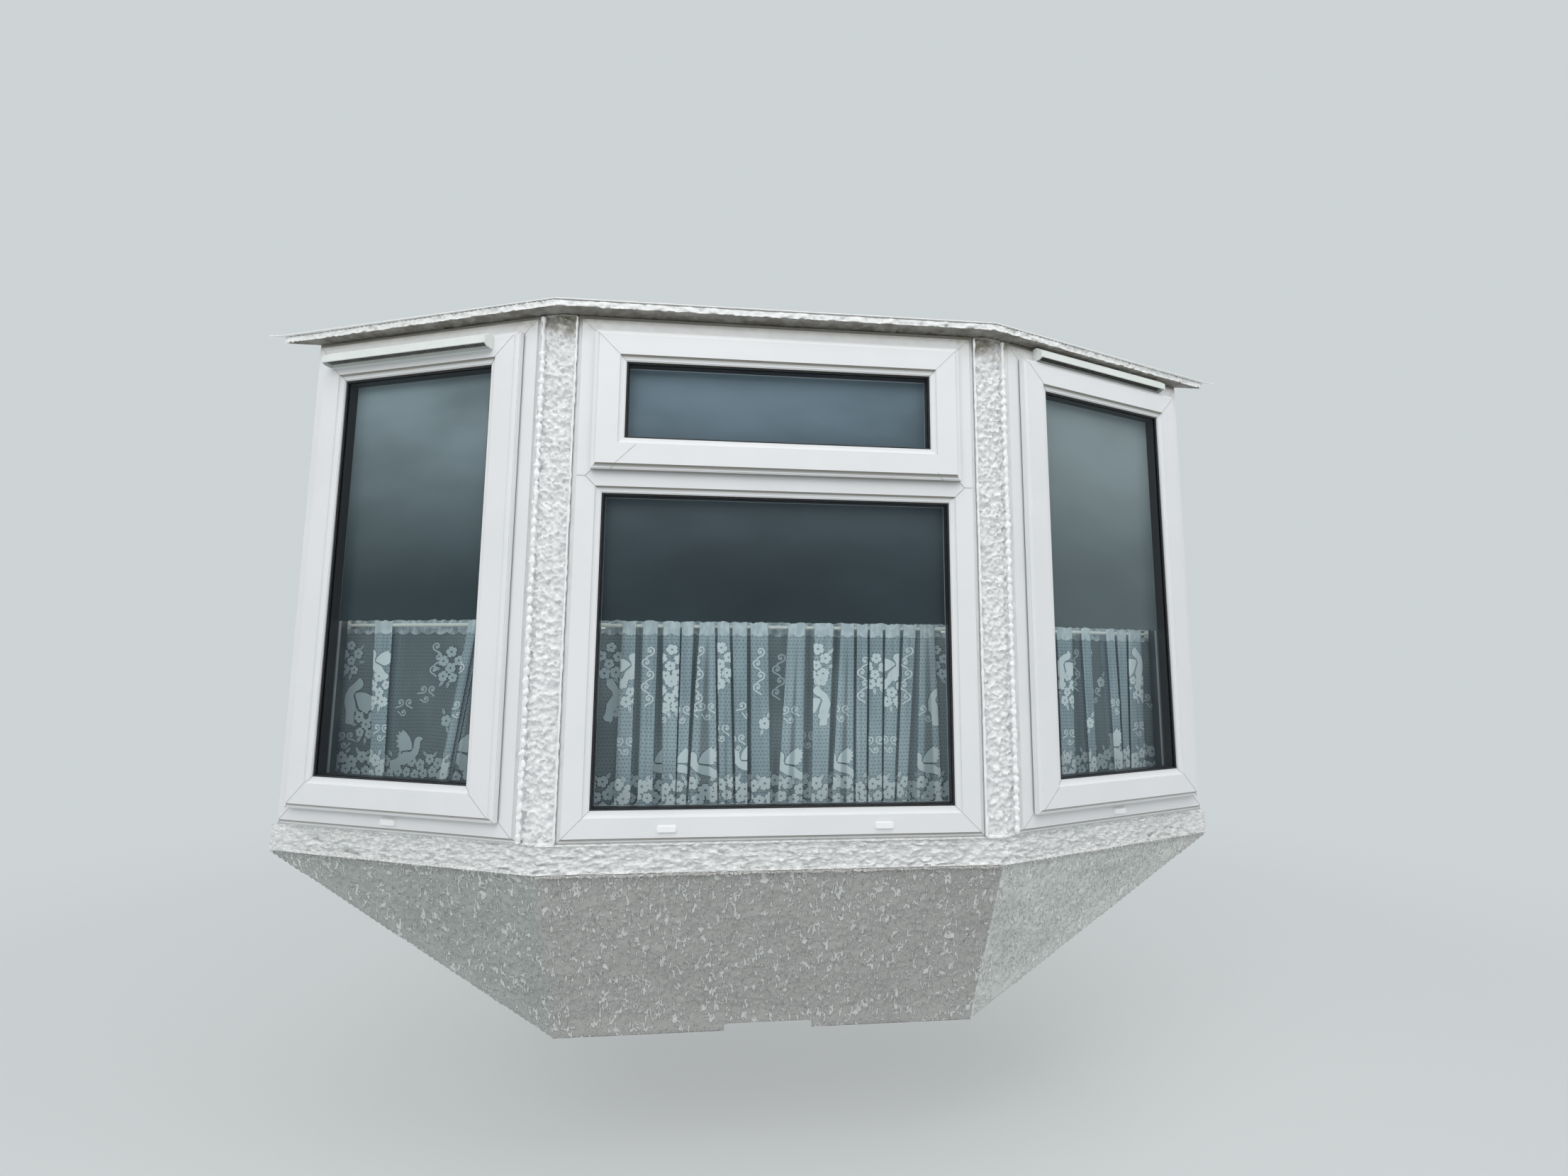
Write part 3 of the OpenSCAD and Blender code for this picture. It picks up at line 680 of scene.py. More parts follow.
SQUIGGLES = relief_texture("squiggles", "DISTORTED_NOISE", 0.0095, distortion=0.8, contrast=1.5,
                           noise_basis="BLENDER_ORIGINAL", noise_distortion="IMPROVED_PERLIN")
CREASES = relief_texture("creases", "CLOUDS", 0.011, noise_type="HARD_NOISE", noise_depth=1,
                         contrast=1.5)
LUMPS = relief_texture("lumps", "CLOUDS", 0.014, noise_depth=1, contrast=2.2)
GRIT = relief_texture("grit", "CLOUDS", 0.007, noise_depth=1, contrast=2.0)
SWELL = relief_texture("swell", "CLOUDS", 0.09, noise_depth=1, contrast=1.5)


def held(value, low=0.0, high=1.0):
    """The value, but never below low or above high."""
    return min(max(value, low), high)


def faces_street(vertex):
    """1 where the skin looks to the street, 0 where parts meet or a wedge runs out."""
    looks = held((-vertex.normal.y - 0.25) / 0.35)
    return looks * held((WALL_Y - vertex.co.y - 0.004) / 0.022)


def faces_weather(vertex):
    """As above, for a board that shows its faces too and meets a strip along its top."""
    below_strip = held((HOOD_TOP_Z - vertex.co.z) / 0.007)
    return max(faces_street(vertex) * below_strip, 0.7 if abs(vertex.normal.z) > 0.8 else 0.0)


# %% [markdown]
# ## Pressing the render in
# A Displace modifier reads its pattern from an empty object, so the pattern can be
# stretched without stretching the piece. A group of points says how much of it each spot
# takes. Flat faces that nothing is pressed into need few triangles, so there the mesh is
# thinned again.


# %% Relief of the render
def rendered_piece(nodes, name, square, layers, material, stretch=(1, 1, 1),
                   shows=faces_street, kept=1.0):
    """Solids remeshed in squares and pressed in by layers of noise where they show.

    kept is the share of the triangles that stays after the hidden faces are thinned.
    """
    piece = joined([solid_copy(node, name + "_part") for node in nodes], name)
    add_modifier(piece, "REMESH", mode="VOXEL", voxel_size=square)
    group = piece.vertex_groups.new(name="shows")
    for vertex in piece.data.vertices:
        group.add([vertex.index], shows(vertex), "REPLACE")
    pattern = placed(name + "_pattern")
    pattern.scale = stretch
    bpy.context.view_layer.update()
    for texture, depth in layers:
        add_modifier(piece, "DISPLACE", texture=texture, strength=depth, mid_level=1.0,
                     texture_coords="OBJECT", texture_coords_object=pattern,
                     vertex_group="shows")
    if kept < 1.0:
        add_modifier(piece, "DECIMATE", ratio=kept, vertex_group="shows",
                     invert_vertex_group=True)
    bpy.data.objects.remove(pattern)
    boxes = [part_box(node) for node in nodes]
    low = [min(box[0][i] for box in boxes) for i in range(3)]
    high = [max(box[1][i] for box in boxes) for i in range(3)]
    for vertex in piece.data.vertices:
        vertex.co = [held(vertex.co[i], low[i], high[i]) for i in range(3)]
    piece.data.update()
    finish_piece(piece, material, "render", *nodes, smooth=60)


# %% [markdown]
# ## Finish of the white render
# The coating on the posts and apron is white masonry paint, and its hollows are painted
# darker: painted shade. Under the hood, where the posts begin, an olive band is painted
# in, partly a rain stain and partly painted shade of the hood. Hollows are found with a
# fine noise that matches the relief in scale, since a material can't read the height of
# the mesh. On the apron the noise is drawn out level, as its render is.


# %% Finish of the white render
def white_render(name, clean, hollow_shade, level=False):
    material, place = new_finish(name, 0.78)
    pattern_place = stretched(place, (1, 1, 3.0)) if level else place
    fine = noise_of(pattern_place, 95.0, 4.0, 0.6)
    coarse = noise_of(pattern_place, 34.0)
    broad = noise_of(place, 4.5)
    # Hollows are painted darker: painted shade.
    tone = mixed(span(fine, 0.36, 0.62), hollow_shade, clean)
    tone = mixed(span(coarse, 0.52, 0.68) * 0.5, tone, [0.80 * c for c in clean])
    tone = mixed(span(broad, 0.45, 0.75) * 0.35, tone, hollow_shade)
    # Under the hood: partly an olive stain, partly painted shade of the hood.
    shade_and_damp_edge = parts(place)[2] + (coarse - 0.5) * 0.12
    hood_shade_and_damp = span(shade_and_damp_edge, HEAD_Z - 0.055, HEAD_Z + 0.002) * 0.85
    tone = mixed(hood_shade_and_damp, tone, (0.245, 0.225, 0.165))
    return painted(material, tone, fine * 0.6 + coarse, 0.0035)


POST_RENDER = white_render("post_render", (0.91, 0.915, 0.92), (0.73, 0.74, 0.745))
APRON_RENDER = white_render("apron_render", (0.89, 0.90, 0.895), (0.60, 0.615, 0.61), level=True)

# %% [markdown]
# ## Finish of the hood
# The hood is a thin board in the same paint. Rain keeps its edge white, its underside is
# painted dark, partly from dampness and partly as painted shade, and dust lies on its top.
# One material can hold all three, because the way that a face looks tells which of them it
# is.


# %% Finish of the hood
def hood_render():
    material, place = new_finish("hood_render", 0.8)
    up = facing(place)[2]
    fine = noise_of(place, 110.0, 4.0, 0.6)
    coarse = noise_of(place, 26.0, 4.0, 0.6)
    edge = mixed(span(fine, 0.30, 0.52), (0.78, 0.79, 0.78), (0.94, 0.95, 0.945))
    top = mixed(span(coarse, 0.3, 0.7), (0.50, 0.50, 0.47), (0.66, 0.66, 0.63))
    # The underside: partly dampness, partly painted shade.
    underside_shade_and_damp = mixed(span(coarse, 0.32, 0.66), (0.20, 0.185, 0.16), (0.335, 0.32, 0.30))
    tone = mixed(span(up, 0.75, 0.92), edge, top)
    tone = mixed(span(up, -0.15, -0.75), tone, underside_shade_and_damp)
    return painted(material, tone, fine * 0.5 + coarse, 0.003)


HOOD_RENDER = hood_render()

# %% [markdown]
# ## Finish of the base
# The three sloping boards are white render that faces the ground, and their grey is
# painted shade; the right board is painted lighter, as the light falls from the right.
# Pale flecks and upright streaks lie on them, most of them just under the apron: painted
# highlights where points of the coat catch the light. A pale line runs down the right
# corner, and a painted shadow lies just under the apron. The corner slopes, so its place
# is worked out from the height.

# %% Finish of the base
BASE_FOOT_X = 0.477
BASE_HEAD_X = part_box("base_centre")[1].x
BASE_FOOT_Z, BASE_HEAD_Z = (corner.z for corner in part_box("base_right"))


def base_render():
    material, place = new_finish("base_render", 0.85)
    x, _, z = parts(place)
    corner = span(z, BASE_FOOT_Z, BASE_HEAD_Z, BASE_FOOT_X, BASE_HEAD_X)
    # The grey is painted shade of boards that face the ground; the right board is painted lighter,
    # as the light falls from the right.
    side_boards_light_and_shade = mixed(x > 0.0, (0.430, 0.465, 0.445), (0.68, 0.71, 0.68))
    beside = span(abs(x) - corner, -0.002, 0.002)
    tone = mixed(beside, (0.468, 0.463, 0.447), side_boards_light_and_shade)
    patches = span(noise_of(place, 20.0, 3.0, 0.6), 0.42, 0.62)
    broad = span(noise_of(place, 5.0, 4.0), 0.40, 0.70)
    tone = mixed(patches * 0.14 + broad * 0.16, tone, (0.28, 0.28, 0.27))
    near_apron = span(z, -0.070, -0.012, 0.0, 0.045)
    # Pale streaks and flecks: painted highlights where points of the coat catch the light.
    runs = noise_of(stretched(place, (1.0, 1.0, 0.12)), 62.0, 2.0, 0.5)
    broken = near_apron + noise_of(stretched(place, (1.0, 1.0, 0.45)), 42.0, 2.0)
    streak_highlights = span(abs(runs - 0.5), 0.018, 0.058, 1.0, 0.0) * span(broken, 0.42, 0.52)
    lumps = near_apron + noise_of(place, 115.0, 3.0, 0.6)
    fleck_highlights = streak_highlights.math("MAXIMUM", span(lumps, 0.600, 0.645))
    tone = mixed(fleck_highlights * 0.60, tone, (0.84, 0.85, 0.84))
    pale_corner_line = span(abs(x - corner - 0.003), 0.001, 0.0040, 0.45, 0.0)
    tone = mixed(pale_corner_line, tone, (0.80, 0.82, 0.80))
    # Painted shadow just under the apron.
    painted_apron_shadow = span(z, -0.030, -0.010, 0.0, 0.30)
    tone = mixed(painted_apron_shadow, tone, (0.27, 0.265, 0.25))
    return painted(material, tone, fleck_highlights + lumps * 0.7, 0.0030)


BASE_RENDER = base_render()

# %% [markdown]
# ## Posts, apron, hood and base
# Posts and apron get the deepest relief, and on the apron it is dragged level. The hood
# is thin and the base was coated more calmly, with its pattern drawn upright, so both
# stay shallower. The squares keep every piece under two hundred thousand triangles.

# %% Posts, apron, hood and base
for side in ("left", "right"):
    rendered_piece(["post_" + side], "rendered_post_" + side, 0.0025,
                   ((SWELL, 0.0015), (SQUIGGLES, 0.0044), (CREASES, 0.0012)), POST_RENDER,
                   kept=0.75)
rendered_piece(["apron_band"], "rendered_apron", 0.003,
               ((SWELL, 0.0015), (SQUIGGLES, 0.0048), (CREASES, 0.0014)), APRON_RENDER,
               stretch=(2.4, 2.4, 0.9))
rendered_piece(["hood_board"], "rendered_hood", 0.004,
               ((SWELL, 0.0014), (LUMPS, 0.0034), (GRIT, 0.0012)), HOOD_RENDER,
               shows=faces_weather)
rendered_piece(["base_left", "base_centre", "base_right"], "rendered_base", 0.004,
               ((SWELL, 0.0016), (SQUIGGLES, 0.0026), (GRIT, 0.0010)), BASE_RENDER,
               stretch=(0.9, 0.9, 2.2), kept=0.58)

# %% [markdown]
# ## How the net curtains hang
# Each window has a short lace curtain on a rod. Cloth can't stretch, so a curtain is best
# thought of as one wavy line seen from above: it runs over a fold, turns back under
# itself, crosses the valley behind and comes out over the next fold. The folds are listed
# by their left and right edge at the rod and at the hem, as they lean a little. A smooth
# curve through those corners gives the line, and the measured length of the line gives
# the width that the cloth was cut to.

# %% The line of the folds
CURTAIN_HEM, CURTAIN_HEAD = (corner.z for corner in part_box("curtain_centre"))
ROD_FOOT, ROD_HEAD = (corner.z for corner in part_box("rods"))
ROD_Z, ROD_RADIUS = 0.5 * (ROD_FOOT + ROD_HEAD), 0.5 * (ROD_HEAD - ROD_FOOT)
CURTAIN_DROP = CURTAIN_HEAD - CURTAIN_HEM
FOLD_DEPTH = 0.0095
print("curtain from", round(CURTAIN_HEM, 3), "to", round(CURTAIN_HEAD, 3),
      "rod", round(ROD_Z, 3), "radius", round(ROD_RADIUS, 4))


def fold_corners(start, end, folds, wave_seed, flare=0.0):
    """Corner points (place at head, place at hem, depth at head, depth at hem)."""
    wave = random.Random(wave_seed)
    corners = [(start, start, 0.0, 0.0)]
    for left_head, right_head, left_hem, right_hem, tuck in folds:
        under_head = min(tuck, 0.48 * (right_head - left_head))
        under_hem = min(tuck, 0.48 * (right_hem - left_hem))
        back = FOLD_DEPTH * wave.uniform(0.75, 1.0)
        front = -FOLD_DEPTH * wave.uniform(0.85, 1.0)
        corners += [
            (left_head + under_head, left_hem + under_hem, back, back),
            (left_head, left_hem, 0.8 * front, 0.7 * front),
            (0.5 * (left_head + right_head), 0.5 * (left_hem + right_hem),
             front, front * wave.uniform(0.5, 1.0)),
            (right_head, right_hem, 0.8 * front, 0.7 * front),
            (right_head - under_head, right_hem - under_hem, back, back)]
    if flare:
        corners.append((end - 0.022, end - 0.020, 0.002, 0.002))
    corners.append((end, end + flare, -2 * flare, -2 * flare))
    return corners


def smooth_through(values, position):
    """The curve through the corners: position 2.4 is 0.4 of the way from 2 to 3."""
    last = len(values) - 1
    index = min(int(position), last - 1)
    t = position - index
    a = values[max(index - 1, 0)]
    b, c = values[index], values[index + 1]
    d = values[min(index + 2, last)]
    return b + 0.5 * t * (c - a + t * (2 * a - 5 * b + 4 * c - d + t * (3 * (b - c) + d - a)))


# %% [markdown]
# ## A place on the cloth
# Everything on a curtain is given by two lengths on the flat cloth: across it and down
# from its head. One class turns these into a place in the bay, so the sheet, its lace and
# its light all follow the same folds.

# %% A curtain as it hangs
POINTS_A_CORNER = 40
THREAD_STEP = 0.0035
NEARBY = 0.0008
SWAY, HEM_WAVE, FRILL = 0.0016, 0.0025, 0.0030
CENTRE_ROD, SIDE_ROD = 0.098, 0.068


class Hanging:
    """A curtain: maps a place on the flat cloth (across, down) to a place in the bay."""

    def __init__(self, side, rod_depth, corners):
        self.axes = window_axes(side)
        self.rod_depth = rod_depth
        self.columns = [list(column) for column in zip(*corners)]
        steps = POINTS_A_CORNER * (len(corners) - 1)
        self.positions = [step / POINTS_A_CORNER for step in range(steps + 1)]
        line = [self.line_at(position, 0.5) for position in self.positions]
        self.across = [0.0]
        for before, here in zip(line, line[1:]):
            self.across.append(self.across[-1] + math.dist(before, here))
        self.width = self.across[-1]
        self.count = round(self.width / THREAD_STEP)
        self.layers = [self.count_layers(down) for down in (0.0, 0.33, 0.67, 1.0)]

    def line_at(self, position, down):
        """Place along the window and depth at a share of the drop."""
        head_x, hem_x, head_d, hem_d = (smooth_through(c, position) for c in self.columns)
        return head_x + (hem_x - head_x) * down, head_d + (hem_d - head_d) * down

    def position_of(self, across):
        """The position on the line of the folds at a length along the cloth."""
        across = held(across, 0.0, self.width)
        low, high = 0, len(self.across) - 1
        while high - low > 1:
            middle = (low + high) // 2
            if self.across[middle] <= across:
                low = middle
            else:
                high = middle
        share = (across - self.across[low]) / (self.across[high] - self.across[low])
        return self.positions[low] + share * (self.positions[high] - self.positions[low])

    def place(self, across, down):
        """A point of the cloth in the window's axes. down is in metres from the head."""
        share = down / CURTAIN_DROP
        along, depth = self.line_at(self.position_of(across), share)
        sway = noise.noise(Vector((along * 9, share * 2.2, self.rod_depth * 50)))
        near_rod = math.exp(-((down - (CURTAIN_HEAD - ROD_Z)) / 0.05) ** 2)
        depth += SWAY * sway * (1 - near_rod)
        hem = HEM_WAVE * math.sin(across * 39.0) * share
        frill = FRILL * max(0.0, -depth / FOLD_DEPTH) * math.exp(-(down / 0.008) ** 2)
        return Vector((along, self.rod_depth + depth,
                       CURTAIN_HEAD - FOOT_Z - down + hem + frill))

    def place_on(self, across, down, lift):
        """A point that stands proud of the cloth's outer side."""
        here = self.place(across, down)
        beside = self.place(across + NEARBY, down) - self.place(across - NEARBY, down)
        below = self.place(across, down + NEARBY) - self.place(across, down - NEARBY)
        return here - beside.cross(below).normalized() * lift

    def across_seen(self, along, down):
        """The place on the cloth that is foremost at a place along the window."""
        share = down / CURTAIN_DROP
        line = [self.line_at(position, share) for position in self.positions]
        best = min(range(len(line)), key=lambda i: abs(line[i][0] - along) + 0.25 * line[i][1])
        return self.across[best]

    def turn_at(self, across, down):
        """0 where the cloth is seen square on, 1 where it is seen on edge."""
        ahead = self.place(across + 0.001, down) - self.place(across - 0.001, down)
        return min(1.0, abs(ahead.y) / max(ahead.length, 1e-6))

    def count_layers(self, down):
        """How many layers of cloth lie behind each place, for the light that they catch."""
        samples = [self.line_at(position, down)[0] for position in self.positions]
        pairs = list(zip(samples, samples[1:]))
        return [sum((first <= x) != (second <= x) for first, second in pairs) for x in samples]

    def layers_at(self, across, down):
        """The number of layers, softened over neighbouring threads and rows."""
        share = held(down / CURTAIN_DROP) * (len(self.layers) - 1)
        row = min(int(share), len(self.layers) - 2)
        fraction = share - row
        above, below = self.layers[row], self.layers[row + 1]
        last = len(self.positions) - 1
        middle = round(self.position_of(across) / self.positions[-1] * last)
        near = [held(middle + offset, 0, last) for offset in (-4, -2, 0, 2, 4)]
        return sum(above[i] * (1 - fraction) + below[i] * fraction for i in near) / len(near)


# %% [markdown]
# ## The folds of the three curtains
# Each row is one fold, in millimetres along the window: its left and right edge at the
# rod, the same at the hem, and how far the cloth tucks under it. The centre curtain is
# measured from the middle, the others from the corner beside the post.


# %% Folds
def in_metres(rows):
    return [tuple(value / 1000.0 for value in row) for row in rows]


CENTRE_FOLDS = in_metres([
    (-337, -308, -342, -309, 14), (-293, -261, -293, -263, 15), (-250, -212, -241, -214, 18),
    (-208, -182, -211, -192, 12), (-168, -136, -187, -122, 15), (-131, -103, -118, -87, 13),
    (-98, -64, -82, -58, 17), (-56, -16, -48, -7, 20), (30, 69, 7, 62, 18),
    (87, 134, 82, 117, 22), (150, 180, 127, 176, 15), (186, 211, 181, 204, 12),
    (216, 246, 209, 239, 15), (252, 288, 243, 267, 17), (294, 325, 272, 294, 13),
    (333, 366, 318, 377, 14)])
RIGHT_FOLDS = in_metres([
    (120, 160, 116, 150, 18), (199, 249, 200, 240, 24), (280, 312, 292, 314, 14),
    (367, 398, 380, 408, 14), (405, 440, 410, 426, 15), (449, 498, 434, 487, 24)])
LEFT_FOLDS = in_metres([
    (110, 140, 118, 150, 12), (168, 190, 234, 254, 10), (395, 446, 388, 424, 20)])

GAP = 0.003
SIDE_START, SIDE_END = 0.089 + GAP, 0.533
CENTRE_HALF = 0.411 - GAP
FLARE = 0.007
centre_corners = fold_corners(-CENTRE_HALF, CENTRE_HALF, CENTRE_FOLDS, 11)
hangings = {
    "centre": Hanging(0, CENTRE_ROD, [(head + CENTRE_WIDTH / 2, hem + CENTRE_WIDTH / 2, *depths)
                                      for head, hem, *depths in centre_corners]),
    "left": Hanging(-1, SIDE_ROD, fold_corners(SIDE_START, SIDE_END, LEFT_FOLDS, 5, FLARE)),
    "right": Hanging(1, SIDE_ROD, fold_corners(SIDE_START, SIDE_END, RIGHT_FOLDS, 7, FLARE)),
}
for name, hanging in hangings.items():
    print("curtain", name, "cloth width", round(hanging.width, 3), "columns", hanging.count)

# %% [markdown]
# ## Net ground
# The cloth itself is a fine machine net. Rows of small dashes run through it, the head is
# a dense band with a scalloped lower edge, and cloth that lies in several layers is painted
# lighter, as painted light, while a single layer is painted with the dark shade of the room
# behind it. The number of layers is stored on the mesh as an attribute, so that the finish
# can follow it, and edges seen on end get a painted sheen. The lace figures are of the same
# thread, woven solid, and the open line around them is painted with the dark shade of the
# room.

# %% Finish of the net
DASH_ROWS, DASH_COLUMNS = 0.0080, 0.0082
THREAD_WAVE, SCALLOP_WAVE = 2600.0, 110.0
SCALLOP_DEPTH, HEAD_BAND = 0.006, 0.029


def ground_tone(cloth, depth, single, many):
    """Net in its folds, with darker dashes in staggered rows."""
    across, down, _ = parts(cloth)
    gather = noise_of(stretched(cloth, (190, 3.5, 1)), 1.0, 3.0, 0.6)
    tone = mixed(depth, single, many)
    tone = mixed(span(gather, 0.30, 0.62, 0.42, 0.0), tone, single)
    # Edges seen on end are painted lighter: painted sheen.
    turned_edge = gives(cloth.tree, "Attribute", output="Fac", attribute_name="turn")
    painted_edge_sheen = mixed(depth, (0.30, 0.37, 0.41), (0.62, 0.70, 0.745))
    tone = mixed(span(turned_edge, 0.62, 0.97, 0.0, 0.75), tone, painted_edge_sheen)
    row = down / DASH_ROWS
    column = across / DASH_COLUMNS + row.math("FLOOR").math("MODULO", 2.0) * 0.5
    in_column = span(abs(column.math("FRACT") - 0.5), 0.22, 0.32, 1.0, 0.0)
    in_row = span(abs(row.math("FRACT") - 0.5), 0.08, 0.17, 1.0, 0.0)
    tone = mixed(in_column * in_row * 0.60, tone, (0.035, 0.055, 0.070))
    return mixed(span((down * THREAD_WAVE).math("SINE"), -1.0, 1.0, 0.0, 0.16), tone, many)


def net_finish(name):
    material, place = new_finish(name, 0.85)
    cloth = gives(place.tree, "UVMap", uv_map="cloth")
    across, down, _ = parts(cloth)
    layers = gives(place.tree, "Attribute", output="Fac", attribute_name="layers")
    depth = span(layers, 1.0, 2.9)
    # A single layer is painted with the dark shade of the room behind it, mottled by noise; several
    # layers are painted lighter: painted light.
    room = span(noise_of(stretched(place, (5, 5, 3.2)), 1.0), 0.32, 0.7)
    single = mixed(room, (0.130, 0.158, 0.170), (0.240, 0.274, 0.287))
    many = mixed(room, (0.355, 0.435, 0.480), (0.530, 0.615, 0.660))
    if name == "net_motif":
        tone = mixed(depth, (0.52, 0.59, 0.62), (0.90, 0.95, 0.97))
        tone = mixed(noise_of(cloth, 900.0, 2.0) * 0.22, tone, single)
    elif name == "net_rim":
        # The open line is painted with the dark shade of the room.
        tone = mixed(depth, (0.036, 0.056, 0.070), (0.215, 0.285, 0.335))
    else:
        tone = ground_tone(cloth, depth, single, many)
    scallops = abs((across * SCALLOP_WAVE).math("SINE")) * SCALLOP_DEPTH
    in_head = down < scallops + HEAD_BAND
    puffs = span(noise_of(stretched(cloth, (85, 45, 1)), 1.0, 2.0), 0.38, 0.66, 0.0, 0.75)
    lace_head = mixed(depth, (0.31, 0.365, 0.40), (0.55, 0.62, 0.655))
    tone = mixed(in_head, tone, mixed(puffs, lace_head, (0.78, 0.83, 0.85)))
    return painted(material, tone, noise_of(cloth, 1100.0, 2.0), 0.0003)


NET_GROUND, NET_MOTIF, NET_RIM = (net_finish("net_" + kind)
                                  for kind in ("ground", "motif", "rim"))

# %% [markdown]
# ## The three curtains
# A sheet that follows a line is simplest in mesh code. A grid of columns and rows is laid
# on the folds, with more rows near the frilled head, and the faces that the rod would
# cut are left out as the slots that it passes through. Each point keeps its place on the
# flat cloth as its UV, so that every pattern follows the cloth.

# %% The three curtains
SLOT_ROOM = 0.0012
FINE_ROW, WIDE_ROW = 0.003, 0.011


def note(mesh, name, values):
    """Keeps one number for each point of a mesh, for a finish to read."""
    attribute = mesh.attributes.new(name, "FLOAT", "POINT")
    for index, value in enumerate(values):
        attribute.data[index].value = value


def cloth_piece(mesh, hanging, spots):
    """An object whose points know their place on the flat cloth and the layers there."""
    flat = mesh.uv_layers.new(name="cloth")
    for loop in mesh.loops:
        flat.data[loop.index].uv = spots[loop.vertex_index]
    note(mesh, "layers", [hanging.layers_at(*spot) for spot in spots])
    return placed(mesh.name, mesh)


def hung_cloth(name, hanging):
    """The curtain as one sheet, with slots where the rod passes through the cloth."""
    rows = [FINE_ROW * step for step in range(10)]
    while rows[-1] < CURTAIN_DROP - WIDE_ROW / 2:
        rows.append(rows[-1] + WIDE_ROW)
    rows[-1] = CURTAIN_DROP
    width = hanging.count + 1
    spots = [(hanging.width * column / hanging.count, down)
             for down in rows for column in range(width)]
    local = [hanging.place(*spot) for spot in spots]
    from_rod = [math.hypot(point.y - hanging.rod_depth, point.z - (ROD_Z - FOOT_Z))
                for point in local]
    faces = []
    for row in range(len(rows) - 1):
        for column in range(hanging.count):
            corner = row * width + column
            face = (corner, corner + 1, corner + 1 + width, corner + width)
            if all(from_rod[i] >= ROD_RADIUS + SLOT_ROOM for i in face):
                faces.append(face)
    mesh = bpy.data.meshes.new(name)
    mesh.from_pydata([hanging.axes @ point for point in local], [], faces)
    note(mesh, "turn", [hanging.turn_at(*spot) for spot in spots])
    return cloth_piece(mesh, hanging, spots)


for name, hanging in hangings.items():
    curtain = hung_cloth("net_" + name, hanging)
    work_on(curtain)
    bpy.ops.mesh.delete_loose()
    close_up()
    finish_piece(curtain, NET_GROUND, "net", "curtain_" + name, smooth=50)
    area = sum(face.area for face in curtain.data.polygons)
    print("cloth area", round(area, 4), "of", round(hanging.width * CURTAIN_DROP, 4))

# %% [markdown]
# ## Lace motifs
# Machine lace shows dense figures on the open net: doves with raised wings, five-petalled
# blossoms, leaves and scrolls, each with a thin open line around it. They are drawn flat
# with the cloth, in millimetres, and only then hung, so a figure bends, hides and comes
# out again with the folds. These are traditional figures, drawn here from scratch.

# %% Drawing the figures
DOVE_BODY = [(42, 27), (36, 30.5), (30, 32), (24, 30.5), (19.5, 26), (17.5, 18), (17.5, 7),
             (12, -1.5), (1, -2.5), (-13, -4.5), (-22, -11), (-31, -17), (-43, -20), (-46, -28),
             (-43, -35), (-37, -41), (-25, -35), (-12, -30), (6, -27), (21, -19), (32, -6),
             (36, 9), (35, 20)]
DOVE_WING = [(14.5, 5), (12, 17), (5, 30), (-7, 42), (-17, 48), (-19.5, 41), (-28, 45), (-25, 36),
             (-34, 36), (-27, 27), (-34, 23), (-25.5, 17), (-31, 10), (-22, 7.5), (-24, 1.5),
             (-13, 0.5), (0, 1.5), (9, 2)]
PETAL = [(1.9, -0.8), (4.4, -3.6), (8.5, -6.0), (12.2, -5.2), (13.8, -2.3), (13.0, 0),
         (13.8, 2.3), (12.2, 5.2), (8.5, 6.0), (4.4, 3.6), (1.9, 0.8)]
HALF_LEAF = [(0, 0.5), (4, 3.4), (9, 4.4), (14, 3.0), (20, 0.5)]


def turned(points, angle=0.0, at=(0, 0), size=1.0, mirror=False):
    c, s = math.cos(angle) * size, math.sin(angle) * size
    flip = -1 if mirror else 1
    return [(at[0] + (x * c - y * s) * flip, at[1] + x * s + y * c) for x, y in points]


def dove(at, size=1.0, angle=0.0, mirror=False):
    """A body with head and tail, and a raised wing with a feathered edge."""
    return [turned(turned(shape, math.radians(angle)), 0, at, size, mirror)
            for shape in (DOVE_BODY, DOVE_WING)]


def blossom(at, size=1.0, angle=0.0):
    return [turned(PETAL, angle + 2 * math.pi * k / 5, at, size) for k in range(5)]


def leaf(at, size=1.0, angle=0.0):
    return [turned(half, angle, at, size)
            for half in (HALF_LEAF, [(x, -y) for x, y in HALF_LEAF])]


def curl(at, size=1.0, angle=0.0, mirror=False):
    """A stem that rolls up into a spiral with a dot at its heart."""
    path = [(-15, -10), (-8, -8.5), (-2, -9)]
    for step in range(13):
        turn = -math.pi / 2 + step * 0.55
        radius = 9.0 - 0.50 * step
        path.append((radius * math.cos(turn), radius * math.sin(turn)))
    bands = []
    for first, second in zip(path, path[1:]):
        dx, dy = second[0] - first[0], second[1] - first[1]
        length = math.hypot(dx, dy)
        nx, ny = -1.6 * dy / length, 1.6 * dx / length
        bands.append([(first[0] + nx, first[1] + ny), (first[0] - nx, first[1] - ny),
                      (second[0] - nx, second[1] - ny), (second[0] + nx, second[1] + ny)])
    bands.append([(2.6 * math.cos(k), 2.6 * math.sin(k)) for k in range(6)])
    return [turned(band, angle, at, size, mirror) for band in bands]


print("outline points:", {"dove": len(DOVE_BODY + DOVE_WING), "petal": len(PETAL)})

# %% [markdown]
# ## Groups of figures
# A lace pattern repeats a few groups: bunches of blossoms with leaves, curls above or
# beside each other, and a garland along the hem. Each group is one function, and seeded
# chance turns and sizes its members, because cloth that has been washed and hung for
# years never shows two of them quite alike.


# %% Groups of figures
def some_turn(chance):
    return chance.uniform(0, 1.2)


